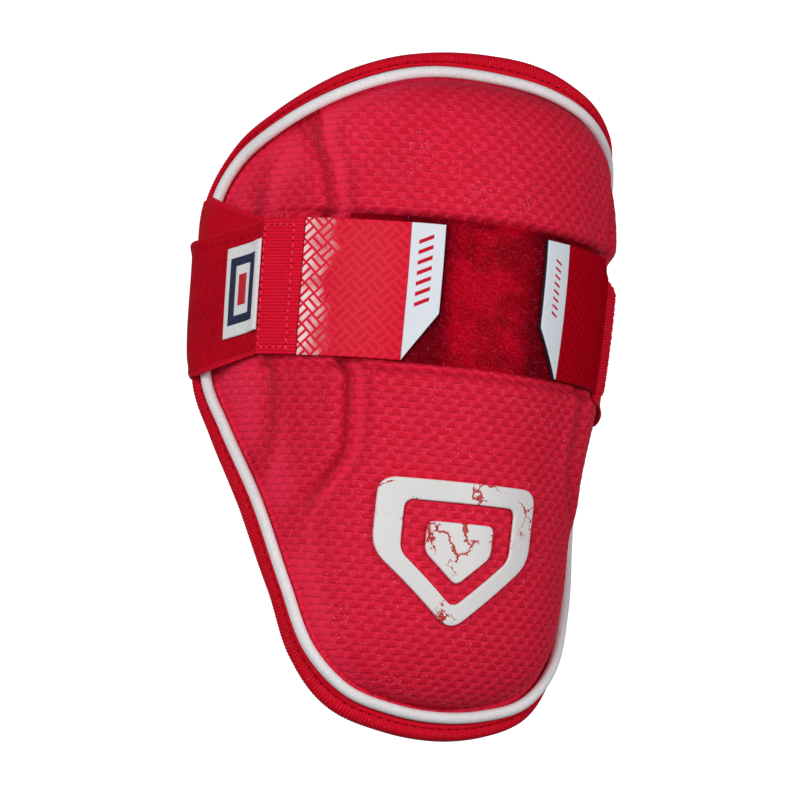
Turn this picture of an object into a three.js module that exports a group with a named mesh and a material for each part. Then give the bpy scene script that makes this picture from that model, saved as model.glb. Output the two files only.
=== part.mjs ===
import * as THREE from 'three';

// Elbow guard lying face up: +X across the arm, +Y along the arm to the wide end, +Z out of the face.
// All sizes in millimetres.
const GAP = 0.3;
const LAID_GAP = 0.4;
const PIPING_R = 2.2;
const PIPING_SIDES = 8;
const FLANGE_DROP = PIPING_R + GAP;
const FLANGE_THICK = 1.6;
const FLANGE_REACH = 5.4;
const FOOT_INSET = 2.8;
const LINING_THICK = 1.2;
const FOAM_THICK = 12;
const BACK_DROP = 1.1;
const DOME_POWER = 1.85;
const HOLLOW_POWER = 1.6;
const HOLLOW_INSET = 6;

// Binding tape folded over the edges: gap on face and back, cut of its corners, start of its back leg.
const TAPE = { thick: 0.8, gap: 0.4, back_gap: 0.6, reach: 6.6, cut: 0.9, ease: 0.4, back_leg: 0.6 };

// Channel for the strap: edges along Y, wall run, depth on the crown, share added down the wings, fade at foot.
const CHANNEL = { low: 2, high: 55.5, wall: 4.5, depth: 4.6, wing: 0.9, fade: 0.6 };

// Fastening band measured along its track from the crown line (minus is left) and across along Y.
const BAND = { low: 7.3, high: 50.9, slack_low: 0, slack_high: 57.2, thick: 1 };
const PANEL = { half: 50, low: 7.3, high: 53, thick: 1.2 };
const TAB = { thick: 1.6, chamfer_top: 22.8 };
const TAB_LEFT = { tip: -20, root: -63.5, chamfer: 10.3 };
const TAB_RIGHT = { tip: 14.8, root: 63.5, chamfer: 9.8 };
const SLEEVE = { length: 15.5, thick: 1.7, sunk: 0.2 };
const PLEAT = { fold_rim: 44.2, fold_sleeve: 50.3, under: 9, thick: 0.8 };
const TAG = { start: -1.3, length: 13.4, low: 15, high: 44.2, lean: 0.26, thick: 1.2, step: 0.65, ease: 3 };
const BADGE = { x: -6, y: -51, half: 26, thick: 1.2, frame: 0.7, core: 0.42 };

// Way of the band past the rim: clearance off the cord, round the binding, and in onto the floor.
const TURN = {
  cord_out: 0.4, cord_off: 0.3, tape_off: -1.9, side_out: 0.3, side_up: 1.5,
  low_in: 0.4, low_up: 0.5, floor_in: 4,
};

// Runs of the band after the cord, each a start and a length: the ply slips out from under the fold, the band
// closes on the rim, the fold opens. Then the end of the ply and the start of the floor.
const CLOSING = { slip: [1, 3.5], close: [4.5, 4.5], open: [9, 6.5], ply: 8, round: 16 };

// Mesh: row pitch, fractions across the middle of a half row, outermost places of the folds, joining of points.
const ROW_PITCH = 8.2;
const NEAR_ROW = 0.5 * ROW_PITCH;
const MIDDLE_FRACTIONS = [0, 0.2, 0.4, 0.58, 0.75, 0.89];
const BACK_FRACTIONS = [0, 0.25, 0.48, 0.68, 0.84, 0.95, 1];
const TRACK_FRACTIONS = [0, 0.12, 0.24, 0.36, 0.47, 0.57, 0.66, 0.74, 0.81, 0.87, 0.92];
const FLOOR_FRACTIONS = [0.75, 0.5, 0.25, 0];
const INNER_MOST = 0.87;
const OUTER_MOST = 0.95;
const FOLD_SHARE = 0.06;
const FOLD_ROOM = 2.4;
const FOLD_EDGE = 0.8;
const LAST_FRACTION = 0.6;
const JOIN_PER_MM = 2000;
const RIM_STEPS = 600;
const ARC_STEPS = 400;
const SLOPE_STEP = 0.5;

// Rim stations on the right side, from the wide tip to the narrow tip, on the centre of the piping:
// place and angle at which the flange runs down from level.
const RIM = [
  { x: 0, y: 104, z: 56, slope: 0 },
  { x: 22, y: 102.3, z: 56, slope: 0 },
  { x: 38, y: 97.5, z: 53.5, slope: 4 },
  { x: 52, y: 90, z: 44.5, slope: 16 },
  { x: 62.5, y: 80.5, z: 31, slope: 38 },
  { x: 68.6, y: 70.5, z: 18, slope: 54 },
  { x: 72.3, y: 57, z: 11.2, slope: 60 },
  { x: 72.6, y: 35, z: 10.7, slope: 62 },
  { x: 70.5, y: 0, z: 10.8, slope: 62 },
  { x: 65.3, y: -16, z: 17.2, slope: 62 },
  { x: 57.8, y: -38, z: 29, slope: 60 },
  { x: 51.2, y: -64, z: 41.3, slope: 58 },
  { x: 44, y: -84.5, z: 48.5, slope: 46 },
  { x: 32, y: -96.5, z: 53, slope: 22 },
  { x: 16, y: -101.5, z: 55, slope: 4 },
  { x: 0, y: -103, z: 55.5, slope: -4 },
];

// Crown stations along the middle of the face.
const CROWN = [
  { y: 101.3, z: 54 },
  { y: 100.2, z: 61 },
  { y: 96.5, z: 68.5 },
  { y: 88, z: 74.5 },
  { y: 70, z: 78.5 },
  { y: 46, z: 80 },
  { y: 20, z: 79 },
  { y: -10, z: 75.5 },
  { y: -40, z: 72.5 },
  { y: -66, z: 70 },
  { y: -82, z: 67 },
  { y: -92, z: 63 },
  { y: -98, z: 58.5 },
  { y: -100.3, z: 53.5 },
];

// Flex folds on each wing: distance from the middle and depth of the inner and the outer fold.
const FOLDS = [
  { y: 104, inner: 30, inner_deep: 0, outer: 40, outer_deep: 0 },
  { y: 90, inner: 44, inner_deep: 0, outer: 48, outer_deep: 0 },
  { y: 80, inner: 50, inner_deep: 4, outer: 57, outer_deep: 0 },
  { y: 68, inner: 51, inner_deep: 5.5, outer: 64, outer_deep: 1 },
  { y: 57, inner: 51, inner_deep: 6, outer: 65, outer_deep: 5 },
  { y: 30, inner: 48, inner_deep: 3, outer: 62, outer_deep: 2 },
  { y: 4, inner: 43.5, inner_deep: 6, outer: 57, outer_deep: 5.5 },
  { y: -20, inner: 42, inner_deep: 5.5, outer: 54.5, outer_deep: 4 },
  { y: -32, inner: 45, inner_deep: 4, outer: 53.5, outer_deep: 0.5 },
  { y: -44, inner: 47.5, inner_deep: 1, outer: 51.5, outer_deep: 0 },
  { y: -62, inner: 41, inner_deep: 0, outer: 46, outer_deep: 0 },
  { y: -104, inner: 30, inner_deep: 0, outer: 40, outer_deep: 0 },
];
const FOLD_HALF = 3;
const FOLD_SPREAD = 0.75 * FOLD_HALF;
const FOLD_FADE = 0.3;

const vec = (x, y, z) => new THREE.Vector3(x, y, z);
const smooth = (t) => THREE.MathUtils.smoothstep(t, 0, 1);

const rimLoop = new THREE.CatmullRomCurve3(
  [...RIM, ...RIM.slice(1, -1).reverse().map((p) => ({ ...p, x: -p.x }))].map((p) => vec(p.x, p.y, p.z)),
  true,
);
const RIM_SPAN = 2 * (RIM.length - 1);

/** Frame of the rim at station u: point, tangent, direction out along the flange, direction off its face. */
function rimFrame(u) {
  const t = (((u / RIM_SPAN) % 1) + 1) % 1;
  const p = rimLoop.getPoint(t);
  const along = rimLoop.getTangent(t);
  const half = Math.min(t * RIM_SPAN, RIM_SPAN - t * RIM_SPAN);
  const [a, b] = [RIM[Math.floor(half)], RIM[Math.min(Math.floor(half) + 1, RIM.length - 1)]];
  const slope = THREE.MathUtils.degToRad(a.slope + (b.slope - a.slope) * smooth(half % 1));
  const plan = vec(along.y, -along.x, 0).normalize();
  if (plan.dot(vec(p.x, p.y, 0)) < 0) {
    plan.multiplyScalar(-1);
  }
  const out = plan.multiplyScalar(Math.cos(slope)).add(vec(0, 0, -Math.sin(slope)));
  out.addScaledVector(along, -out.dot(along)).normalize();
  const off = along.clone().cross(out).normalize();
  if (off.z < 0) {
    off.multiplyScalar(-1);
  }
  return { p, along, out, off };
}

/** Point of the rim frame at a distance out along the flange and off its face; the tips stay in the middle. */
function rimPoint(u, outward, off) {
  const f = rimFrame(u);
  const p = f.p.clone().addScaledVector(f.out, outward).addScaledVector(f.off, off);
  return u % (RIM.length - 1) === 0 ? p.setX(0) : p;
}

const footPoint = (u) => rimPoint(u, -FOOT_INSET, -FLANGE_DROP);

/** Station of the right half of the rim whose foot lies at y. */
function stationAt(y, point = footPoint) {
  let [low, high] = [0, RIM.length - 1];
  for (let k = 0; k < 50; k += 1) {
    const mid = (low + high) / 2;
    if (point(mid).y > y) {
      low = mid;
    } else {
      high = mid;
    }
  }
  return (low + high) / 2;
}

/** Value of a table column at y, eased between rows. */
function tableAt(rows, column, y) {
  for (let k = 0; k + 1 < rows.length; k += 1) {
    const [a, b] = [rows[k], rows[k + 1]];
    if (y <= a.y && y >= b.y) {
      return a[column] + (b[column] - a[column]) * smooth((a.y - y) / (a.y - b.y));
    }
  }
  return y > rows[0].y ? rows[0][column] : rows.at(-1)[column];
}

const crownCurve = new THREE.CatmullRomCurve3(CROWN.map((p) => vec(0, p.y, p.z)));

/** Height of the face on its middle line. */
function crownAt(y) {
  let [low, high] = [0, 1];
  for (let k = 0; k < 40; k += 1) {
    const mid = (low + high) / 2;
    if (crownCurve.getPoint(mid).y > y) {
      low = mid;
    } else {
      high = mid;
    }
  }
  return crownCurve.getPoint((low + high) / 2).z;
}

/** Share of the rise left at s, the fraction of the way from the middle to the foot. */
const domeShare = (s, power = DOME_POWER) => Math.max(0, 1 - Math.abs(s) ** power) ** (1 / power);

function channelDepth(y, s) {
  const inside = smooth((y - CHANNEL.low) / CHANNEL.wall) * smooth((CHANNEL.high - y) / CHANNEL.wall);
  return CHANNEL.depth * inside * (1 + CHANNEL.wing * s * s) * domeShare(s) ** CHANNEL.fade;
}

function foldDepth(x, y) {
  const bell = (centre) => Math.exp(-(((Math.abs(x) - centre) / FOLD_SPREAD) ** 2));
  const inner = tableAt(FOLDS, 'inner_deep', y) * bell(tableAt(FOLDS, 'inner', y));
  const outer = tableAt(FOLDS, 'outer_deep', y) * bell(tableAt(FOLDS, 'outer', y));
  return inner + outer;
}

/** Row of the face through station u: foot, height of the crown over it (none on the two tips). */
function faceRow(u) {
  const foot = footPoint(u);
  const tip = u === 0 || u === RIM.length - 1;
  return { u, foot, y: foot.y, tip, rise: tip ? 0 : Math.max(0, crownAt(foot.y) - foot.z) };
}

function faceZ(row, s, folded) {
  const z = row.foot.z + row.rise * domeShare(s) - channelDepth(row.y, s);
  return folded ? z - foldDepth(s * row.foot.x, row.y) * domeShare(s) ** FOLD_FADE : z;
}

/** Stations of the rows, even along the rim, with rows set on the edges of the channel. */
function rowStations() {
  const last = RIM.length - 1;
  const fixed = [CHANNEL.high, CHANNEL.high - CHANNEL.wall / 2, CHANNEL.high - CHANNEL.wall];
  fixed.push(CHANNEL.low + CHANNEL.wall, CHANNEL.low + CHANNEL.wall / 2, CHANNEL.low);
  const kept = fixed.map((y) => stationAt(y));
  const even = [0];
  let run = 0;
  let before = footPoint(0);
  for (let k = 1; k < RIM_STEPS; k += 1) {
    const u = (last * k) / RIM_STEPS;
    const p = footPoint(u);
    run += p.distanceTo(before);
    before = p;
    if (run >= ROW_PITCH) {
      even.push(u);
      run = 0;
    }
  }
  const near = (u, v) => footPoint(u).distanceTo(footPoint(v)) < NEAR_ROW;
  const tail = even.slice(1).filter((u) => !near(u, last) && !kept.some((v) => near(u, v)));
  return [0, ...tail, ...kept, last].sort((a, b) => a - b);
}

/** Fractions across half a row, gathered on the folds. */
function rowFractions(row) {
  const w = Math.max(row.foot.x, 1e-3);
  const inner = Math.min(tableAt(FOLDS, 'inner', row.y) / w, INNER_MOST);
  const outer = Math.min(tableAt(FOLDS, 'outer', row.y) / w, OUTER_MOST);
  const d = Math.min(FOLD_HALF / w, (outer - inner) / FOLD_ROOM, FOLD_SHARE);
  const edge = outer + d * FOLD_EDGE;
  const list = MIDDLE_FRACTIONS.map((f) => f * (inner - d));
  list.push(inner - d, inner, inner + d, (inner + outer) / 2, outer - d, outer, edge);
  list.push(edge + (1 - edge) * LAST_FRACTION, 1);
  return list;
}

/** Mesh from quads and triangles of points: joins equal points, drops empty faces, turns faces outward. */
function bodyGeometry(faces) {
  const found = new Map();
  const xyz = [];
  const index = [];
  const id = (p) => {
    const key = [p.x, p.y, p.z].map((v) => Math.round(v * JOIN_PER_MM)).join(',');
    if (!found.has(key)) {
      found.set(key, xyz.length / 3);
      xyz.push(p.x, p.y, p.z);
    }
    return found.get(key);
  };
  const push = (a, b, c) => {
    if (a !== b && b !== c && c !== a) {
      index.push(a, b, c);
    }
  };
  for (const face of faces) {
    const ids = face.map(id);
    push(ids[0], ids[1], ids[2]);
    if (ids.length === 4) {
      push(ids[0], ids[2], ids[3]);
    }
  }
  let volume = 0;
  const at = (k) => vec(xyz[3 * k], xyz[3 * k + 1], xyz[3 * k + 2]);
  for (let k = 0; k < index.length; k += 3) {
    volume += at(index[k]).dot(at(index[k + 1]).cross(at(index[k + 2])));
  }
  if (volume < 0) {
    index.reverse();
  }
  const g = new THREE.BufferGeometry();
  g.setAttribute('position', new THREE.Float32BufferAttribute(xyz, 3));
  g.setIndex(index);
  g.computeVertexNormals();
  return g;
}

const gridFaces = (grid, turned) => grid.slice(1).flatMap((row, i) => row.slice(1).map((p, j) => {
  const [a, b, d] = [grid[i][j], row[j], grid[i][j + 1]];
  return turned ? [a, d, p, b] : [a, b, p, d];
}));

const stripFaces = (a, b, turned) => a.slice(1).map((p, i) => {
  const quad = [a[i], p, b[i + 1], b[i]];
  return turned ? quad.reverse() : quad;
});

/** Closed body between an upper and a lower grid; end rows may run to a point. */
function slab(upper, lower) {
  const side = (grid, j) => grid.map((row) => row.at(j));
  const faces = [...gridFaces(upper, false), ...gridFaces(lower, true)];
  faces.push(...stripFaces(side(lower, 0), side(upper, 0), false));
  faces.push(...stripFaces(side(lower, -1), side(upper, -1), true));
  if (upper[0][0].distanceTo(upper[0].at(-1)) > GAP) {
    faces.push(...stripFaces(lower[0], upper[0], true));
    faces.push(...stripFaces(lower.at(-1), upper.at(-1), false));
  }
  return bodyGeometry(faces);
}

/** Closed ring swept round the rim from a profile of [outward, off] pairs. */
function rimRing(profile, stations) {
  const rings = stations.map((u) => profile.map(([n, b]) => rimPoint(u, n, b)));
  const faces = rings.flatMap((ring, i) => {
    const next = rings[(i + 1) % rings.length];
    return ring.map((p, j) => {
      const k = (j + 1) % ring.length;
      return [p, next[j], next[k], ring[k]];
    });
  });
  return bodyGeometry(faces);
}

const group = new THREE.Group();
group.name = 'elbow_guard';

function add(name, geometry, color, roughness) {
  const mesh = new THREE.Mesh(geometry, new THREE.MeshStandardMaterial({ color, roughness, metalness: 0 }));
  mesh.name = name;
  group.add(mesh);
}

const stations = rowStations();
const loopStations = [...stations, ...stations.slice(1, -1).reverse().map((u) => RIM_SPAN - u)];
const rows = stations.map(faceRow);

// Padded shell: face with channel and folds, thin flange round it, hollow back for the arm.
function mirrored(half) {
  const left = half.slice(1).reverse().map((p) => vec(-p.x, p.y, p.z));
  return [...left, ...half];
}

const shellFace = rows.map((row) => {
  const half = rowFractions(row).map((s) => vec(s * row.foot.x, row.y, faceZ(row, s, true)));
  return mirrored([...half, rimPoint(row.u, FLANGE_REACH, -FLANGE_DROP)]);
});

/** Half row of the hollow side at a depth below the flange's back. */
function backRow(row, depth) {
  const under = -FLANGE_DROP - FLANGE_THICK - depth;
  const foot = rimPoint(row.u, -HOLLOW_INSET, under);
  const lowered = FOAM_THICK + depth * BACK_DROP;
  const rise = row.tip ? 0 : Math.max(0, row.foot.z + row.rise - lowered - foot.z);
  const half = BACK_FRACTIONS.map((s) => vec(s * foot.x, foot.y, foot.z + rise * domeShare(s, HOLLOW_POWER)));
  return mirrored([...half, rimPoint(row.u, FLANGE_REACH, under)]);
}

add('pad_shell', slab(shellFace, rows.map((row) => backRow(row, 0))), '#cf1736', 0.75);
add('lining', slab(
  rows.map((row) => backRow(row, GAP)),
  rows.map((row) => backRow(row, GAP + LINING_THICK)),
), '#1b1d26', 0.85);

// Binding tape folded over the edges of shell and lining.
const tapeTop = -FLANGE_DROP + TAPE.gap;
const tapeLow = -FLANGE_DROP - FLANGE_THICK - GAP - LINING_THICK - TAPE.back_gap;
const tapeIn = FLANGE_REACH + TAPE.gap;
add('binding', rimRing([
  [PIPING_R + GAP, tapeTop + TAPE.thick],
  [TAPE.reach - TAPE.cut, tapeTop + TAPE.thick],
  [TAPE.reach, tapeTop - TAPE.ease],
  [TAPE.reach, tapeLow + TAPE.ease],
  [TAPE.reach - TAPE.cut, tapeLow - TAPE.thick],
  [TAPE.back_leg, tapeLow - TAPE.thick],
  [TAPE.back_leg, tapeLow],
  [tapeIn, tapeLow],
  [tapeIn, tapeTop],
  [PIPING_R + GAP, tapeTop],
], loopStations), '#c01430', 0.7);

// Piping cord round the foot of the padding.
const cord = Array.from({ length: PIPING_SIDES }, (_, k) => {
  const a = (2 * Math.PI * k) / PIPING_SIDES;
  return [PIPING_R * Math.cos(a), PIPING_R * Math.sin(a)];
});
add('piping', rimRing(cord, loopStations), '#e4e2e4', 0.6);

// Track of the band at y: over the face, past the piping and the binding, under to the floor.
const FLOOR_LEVEL = BAND.thick + GAP;

function trackCurve(y) {
  const u = stationAt(y);
  const row = faceRow(u);
  const { p } = rimFrame(u);
  const points = TRACK_FRACTIONS.map((s) => vec(s * row.foot.x, y, faceZ(row, s, false)));
  const cordSide = rimPoint(u, TURN.cord_out, PIPING_R + TURN.cord_off);
  const tapeSide = rimPoint(u, TAPE.reach, TURN.tape_off);
  points.push(vec(cordSide.x, y, cordSide.z));
  points.push(vec(tapeSide.x + TURN.side_out, y, tapeSide.z + TURN.side_up));
  points.push(vec(tapeSide.x - TURN.low_in, y, FLOOR_LEVEL + TURN.low_up));
  points.push(vec(tapeSide.x - TURN.floor_in, y, FLOOR_LEVEL));
  FLOOR_FRACTIONS.forEach((f) => points.push(vec(f * p.x, y, FLOOR_LEVEL)));
  return new THREE.CatmullRomCurve3(points, false, 'centripetal');
}

const tracks = new Map();
const MID_Y = (BAND.low + BAND.high) / 2;

function trackAt(y) {
  const key = y.toFixed(3);
  if (!tracks.has(key)) {
    const curve = trackCurve(y);
    curve.arcLengthDivisions = ARC_STEPS;
    tracks.set(key, { curve, length: curve.getLength() });
  }
  return tracks.get(key);
}

const HALF_LOOP = trackAt(MID_Y).length;

/** Point of the band's track at run a (from the crown, minus is left), across y, lifted off the track. */
function bandPoint(a, y, lift) {
  const { curve } = trackAt(y);
  const t = THREE.MathUtils.clamp(Math.abs(a) / HALF_LOOP, 0, 1);
  const p = curve.getPointAt(t);
  const d = curve.getTangentAt(t);
  const normal = vec(-d.z, 0, d.x).normalize();
  return vec((p.x + normal.x * lift) * (a < 0 ? -1 : 1), y, p.z + normal.z * lift);
}

const steps = (from, to, count) => {
  const step = (to - from) / count;
  return Array.from({ length: count + 1 }, (_, k) => from + step * k);
};

/** Sheet on the track: runs and edges given per row as functions, lift of its under face, thickness. */
function bandSheet(runs, across, edge, lift, thick) {
  const grid = (extra) => runs.map((run) => across.map((f) => {
    const { a, y } = edge(run, f);
    return bandPoint(a, y, lift(a) + extra);
  }));
  return slab(grid(thick), grid(0));
}

const flatLift = (value) => () => value;
const straight = (low, high) => (a, f) => ({ a, y: low + (high - low) * f });

// Loop panel laid in the channel, with a lip that turns up its wall above the tabs.
const PANEL_LIP = (BAND.high - PANEL.low) / (PANEL.high - PANEL.low);

add('loop_panel', bandSheet(
  steps(-PANEL.half, PANEL.half, 24),
  [0, PANEL_LIP / 3, (2 * PANEL_LIP) / 3, PANEL_LIP, 1],
  straight(PANEL.low, PANEL.high),
  flatLift(LAID_GAP),
  PANEL.thick,
), '#9c0e24', 0.95);

// Hook tabs with a chamfered tip.
const TAB_LIFT = LAID_GAP + PANEL.thick + GAP;
const TAB_HIGHER = 0.66;

function tabSheet(tab) {
  const edge = (run, f) => {
    const y = BAND.low + (BAND.high - BAND.low) * f;
    const cut = tab.chamfer * THREE.MathUtils.clamp((TAB.chamfer_top - y) / (TAB.chamfer_top - BAND.low), 0, 1);
    const tip = tab.tip + Math.sign(tab.root - tab.tip) * cut;
    return { a: tip + (tab.root - tip) * run, y };
  };
  const share = (TAB.chamfer_top - BAND.low) / (BAND.high - BAND.low);
  return bandSheet(steps(0, 1, 12), [0, share / 2, share, TAB_HIGHER, 1], edge, flatLift(TAB_LIFT), TAB.thick);
}

add('tab_left', tabSheet(TAB_LEFT), '#d81f43', 0.35);
add('tab_right', tabSheet(TAB_RIGHT), '#b3122c', 0.35);

// Ribbed sleeves that close the ends of the elastic band.
function sleeve(root) {
  const side = Math.sign(root);
  return bandSheet(
    steps(root + side * GAP, root + side * SLEEVE.length, 5),
    steps(0, 1, 3),
    straight(BAND.low, BAND.high),
    flatLift(TAB_LIFT - SLEEVE.sunk),
    SLEEVE.thick,
  );
}

add('sleeve_left', sleeve(TAB_LEFT.root), '#bd1530', 0.7);
add('sleeve_right', sleeve(TAB_RIGHT.root), '#bd1530', 0.7);

// Elastic band: from sleeve to sleeve round the sides and across under the arm.
const bandStart = Math.abs(TAB_LEFT.root) + SLEEVE.length + GAP;

/** Run at which the track passes the cord at the middle of the band. */
function cordRun() {
  const { curve } = trackAt(MID_Y);
  const level = rimFrame(stationAt(MID_Y)).p.z;
  const past = steps(0, 1, ARC_STEPS).find((t) => curve.getPointAt(t).z < level);
  return HALF_LOOP * past;
}

const CORD_RUN = cordRun();

const UNDER_LIFT = 2 * GAP + PLEAT.thick;
const onWing = (a) => THREE.MathUtils.clamp((Math.abs(a) - bandStart) / (CORD_RUN - bandStart), 0, 1);
const past = (a, [start, run]) => smooth((Math.abs(a) - CORD_RUN - start) / run);
const rimLift = (a) => UNDER_LIFT + (GAP - UNDER_LIFT) * past(a, CLOSING.close);
const bandLift = (a) => TAB_LIFT + (rimLift(a) - TAB_LIFT) * onWing(a);
const lowEdge = (a) => BAND.low + (BAND.slack_low - BAND.low) * onWing(a);
const highEdge = (a) => BAND.high + (BAND.slack_high - BAND.high) * onWing(a);
const foldEdge = (a) => PLEAT.fold_sleeve + (PLEAT.fold_rim - PLEAT.fold_sleeve) * onWing(a);
const frontRuns = steps(bandStart, CORD_RUN, 6);
const sideRuns = steps(CORD_RUN, CORD_RUN + CLOSING.round, 8).slice(1);
const floorRuns = steps(CORD_RUN + CLOSING.round, HALF_LOOP, 4).slice(1);
const halfRuns = [...frontRuns, ...sideRuns, ...floorRuns];
const bandRuns = [...halfRuns.map((a) => -a), ...halfRuns.slice(0, -1).reverse()];

add('strap', bandSheet(bandRuns, steps(0, 1, 4), (a, f) => {
  const open = a < 0 ? past(a, CLOSING.open) : 1;
  const high = foldEdge(a) + (highEdge(a) - foldEdge(a)) * open;
  return { a, y: lowEdge(a) + (high - lowEdge(a)) * f };
}, bandLift, BAND.thick), '#b10f2a', 0.45);

// Pleated ply of the elastic that lies under the fold on the left wing and goes with it round the rim.
add('strap_pleat', bandSheet(
  [...frontRuns, ...sideRuns.filter((a) => a <= CORD_RUN + CLOSING.ply)].map((a) => -a),
  steps(0, 1, 3),
  (a, f) => {
    const low = foldEdge(a) + GAP - (PLEAT.under + GAP) * (1 - past(a, CLOSING.slip));
    return { a, y: low + (highEdge(a) - low) * f };
  },
  flatLift(GAP),
  PLEAT.thick,
), '#a80e28', 0.45);

// Rubber tag on the elastic: its inner edge steps up over the end of the left sleeve.
const tagStart = bandStart + TAG.start;
const overSleeve = (a) => TAG.step * (1 - smooth((Math.abs(a) - bandStart) / TAG.ease));
add('tag', bandSheet(
  steps(-tagStart, -tagStart - TAG.length, 4),
  steps(0, 1, 3),
  (a, f) => ({ a, y: TAG.low + (TAG.high - TAG.low) * f + (a + tagStart) * TAG.lean }),
  (a) => bandLift(a) + BAND.thick + GAP + overSleeve(a),
  TAG.thick,
), '#dedede', 0.5);

// Rubber badge on the narrow end: a five-sided frame round a five-sided core.
const PLATE = [
  { x: -1, y: 0.85 },
  { x: 1, y: 0.85 },
  { x: 1, y: -0.05 },
  { x: 0, y: -0.95 },
  { x: -1, y: -0.05 },
];

function plateOutline(scale, cuts) {
  return PLATE.flatMap((p, k) => {
    const q = PLATE[(k + 1) % PLATE.length];
    return Array.from({ length: cuts }, (_, i) => ({
      x: BADGE.x + BADGE.half * scale * (p.x + ((q.x - p.x) * i) / cuts),
      y: BADGE.y + BADGE.half * scale * (p.y + ((q.y - p.y) * i) / cuts),
    }));
  });
}

/** Point lifted off the face over a place in plan. */
function overFace(x, y, lift) {
  const row = faceRow(stationAt(y));
  const z = (px, r) => faceZ(r, Math.min(1, Math.abs(px) / r.foot.x), false);
  const rowAt = (py) => faceRow(stationAt(py));
  const dx = (z(x + SLOPE_STEP, row) - z(x - SLOPE_STEP, row)) / (2 * SLOPE_STEP);
  const dy = (z(x, rowAt(y + SLOPE_STEP)) - z(x, rowAt(y - SLOPE_STEP))) / (2 * SLOPE_STEP);
  const normal = vec(-dx, -dy, 1).normalize();
  return vec(x, y, z(x, row)).addScaledVector(normal, lift);
}

/** Closed plate between outlines of the given scales; a last scale of nought closes the middle. */
function badgePlate(scales, cuts) {
  const rings = scales.map((k) => plateOutline(k, cuts));
  const raise = (lift) => rings.map((ring) => ring.map((p) => overFace(p.x, p.y, lift)));
  const [low, high] = [raise(LAID_GAP), raise(LAID_GAP + BADGE.thick)];
  const round = (grid) => grid.map((ring) => [...ring, ring[0]]);
  const [a, b] = [round(high), round(low)];
  const faces = [...gridFaces(a, false), ...gridFaces(b, true), ...stripFaces(b[0], a[0], true)];
  faces.push(...stripFaces(b.at(-1), a.at(-1), false));
  return bodyGeometry(faces);
}

add('badge_frame', badgePlate([1, (1 + BADGE.frame) / 2, BADGE.frame], 8), '#eceaea', 0.5);
add('badge_core', badgePlate([BADGE.core, BADGE.core / 2, 0], 3), '#eceaea', 0.5);

// The part stands on the floor with its middle over the origin.
const box = new THREE.Box3().setFromObject(group);
const middle = box.getCenter(vec(0, 0, 0));
group.children.forEach((mesh) => mesh.geometry.translate(-middle.x, -middle.y, -box.min.z));

group.updateMatrixWorld(true);
export default group;
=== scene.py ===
import math

import bpy
import numpy as np
from mathutils import Matrix, Vector


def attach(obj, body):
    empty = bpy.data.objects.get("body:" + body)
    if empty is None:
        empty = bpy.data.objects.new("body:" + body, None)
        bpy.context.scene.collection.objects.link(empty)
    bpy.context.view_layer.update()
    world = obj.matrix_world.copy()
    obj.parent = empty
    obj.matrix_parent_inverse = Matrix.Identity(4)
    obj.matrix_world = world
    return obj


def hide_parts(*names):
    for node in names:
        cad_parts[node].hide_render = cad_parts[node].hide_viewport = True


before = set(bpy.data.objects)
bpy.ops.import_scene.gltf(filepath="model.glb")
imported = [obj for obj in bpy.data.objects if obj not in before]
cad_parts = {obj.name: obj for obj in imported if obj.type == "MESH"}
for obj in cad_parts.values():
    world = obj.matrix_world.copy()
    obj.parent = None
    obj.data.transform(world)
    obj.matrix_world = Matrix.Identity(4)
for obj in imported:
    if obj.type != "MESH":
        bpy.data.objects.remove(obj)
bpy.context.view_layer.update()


# Padded shell. Moulded foam, hollow behind for the arm, with a red brick knit stretched over it.
# The mould presses in the channel for the strap and two flex folds on each wing. A thin flange runs
# round the foot of the padding, where the edge trim is sewn on. Sizes are in millimetres.
MM = 0.001
ORIGIN = np.array([0.0104, -0.3057, 0.1020])
WELD = 5000  # cells per millimetre in which the points of a mesh count as one
FLANGE = dict(drop=2.5, thick=1.6, reach=4.6, rows=(-1.0, 1.4, 3.2))
FOOT_INSET = 2.8
HOLLOW_INSET = 6.0
FOAM_THICK = 12.0
DOME_POWER = 1.85
HOLLOW_POWER = 1.6
HOLLOW_SINK = 1.1
CHANNEL = dict(low=2.0, high=55.5, wall=4.5, depth=4.6, wing=0.9, fade=0.6)
FOLD = dict(
    wall=1.8, slope=3.6, plain=3.0, ridge=0.3, ridge_off=4.2, ridge_wide=2.6,
    puff=0.6, puff_off=7.0, puff_wide=3.8, right=0.4, fade=0.3,
)
KNIT = dict(cell_wide=2.6, cell_high=2.35, relief=0.1, row_step=0.7, rim_step=2.0, across=300)
# Where the knit is stretched: out on both wings, and less on the upper part of the left one.
WING = dict(start=0.84, run=0.14, drop=0.68)
UPPER_LEFT = dict(y=56, y_run=10, start=0.6, run=0.2, drop=0.36)
# Where the knit gathers and is drawn tight at a fold, which the finish paints as shade in the valley and partly as a
# highlight over the ridge; slope and tight are for the inner and the outer fold.
GATHER = dict(full=5.5, at=0.6, wall=0.9, slope=(3.4, 1.8), ridge=-1.2, ridge_wide=1.0, tight=(0.45, 0.2))

# Rim from the wide tip to the narrow tip: x, y, z of the piping's middle, slope of the flange in degrees.
RIM = np.array([
    (0, 104, 56, 0), (22, 102.3, 56, 0), (38, 97.5, 53.5, 4), (52, 90, 44.5, 16),
    (62.5, 80.5, 31, 38), (68.6, 70.5, 18, 54), (72.3, 57, 11.2, 60), (72.6, 35, 10.7, 62),
    (70.5, 0, 10.8, 62), (65.3, -16, 17.2, 62), (57.8, -38, 29, 60), (51.2, -64, 41.3, 58),
    (44, -84.5, 48.5, 46), (32, -96.5, 53, 22), (16, -101.5, 55, 4), (0, -103, 55.5, -4),
], float)
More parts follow.
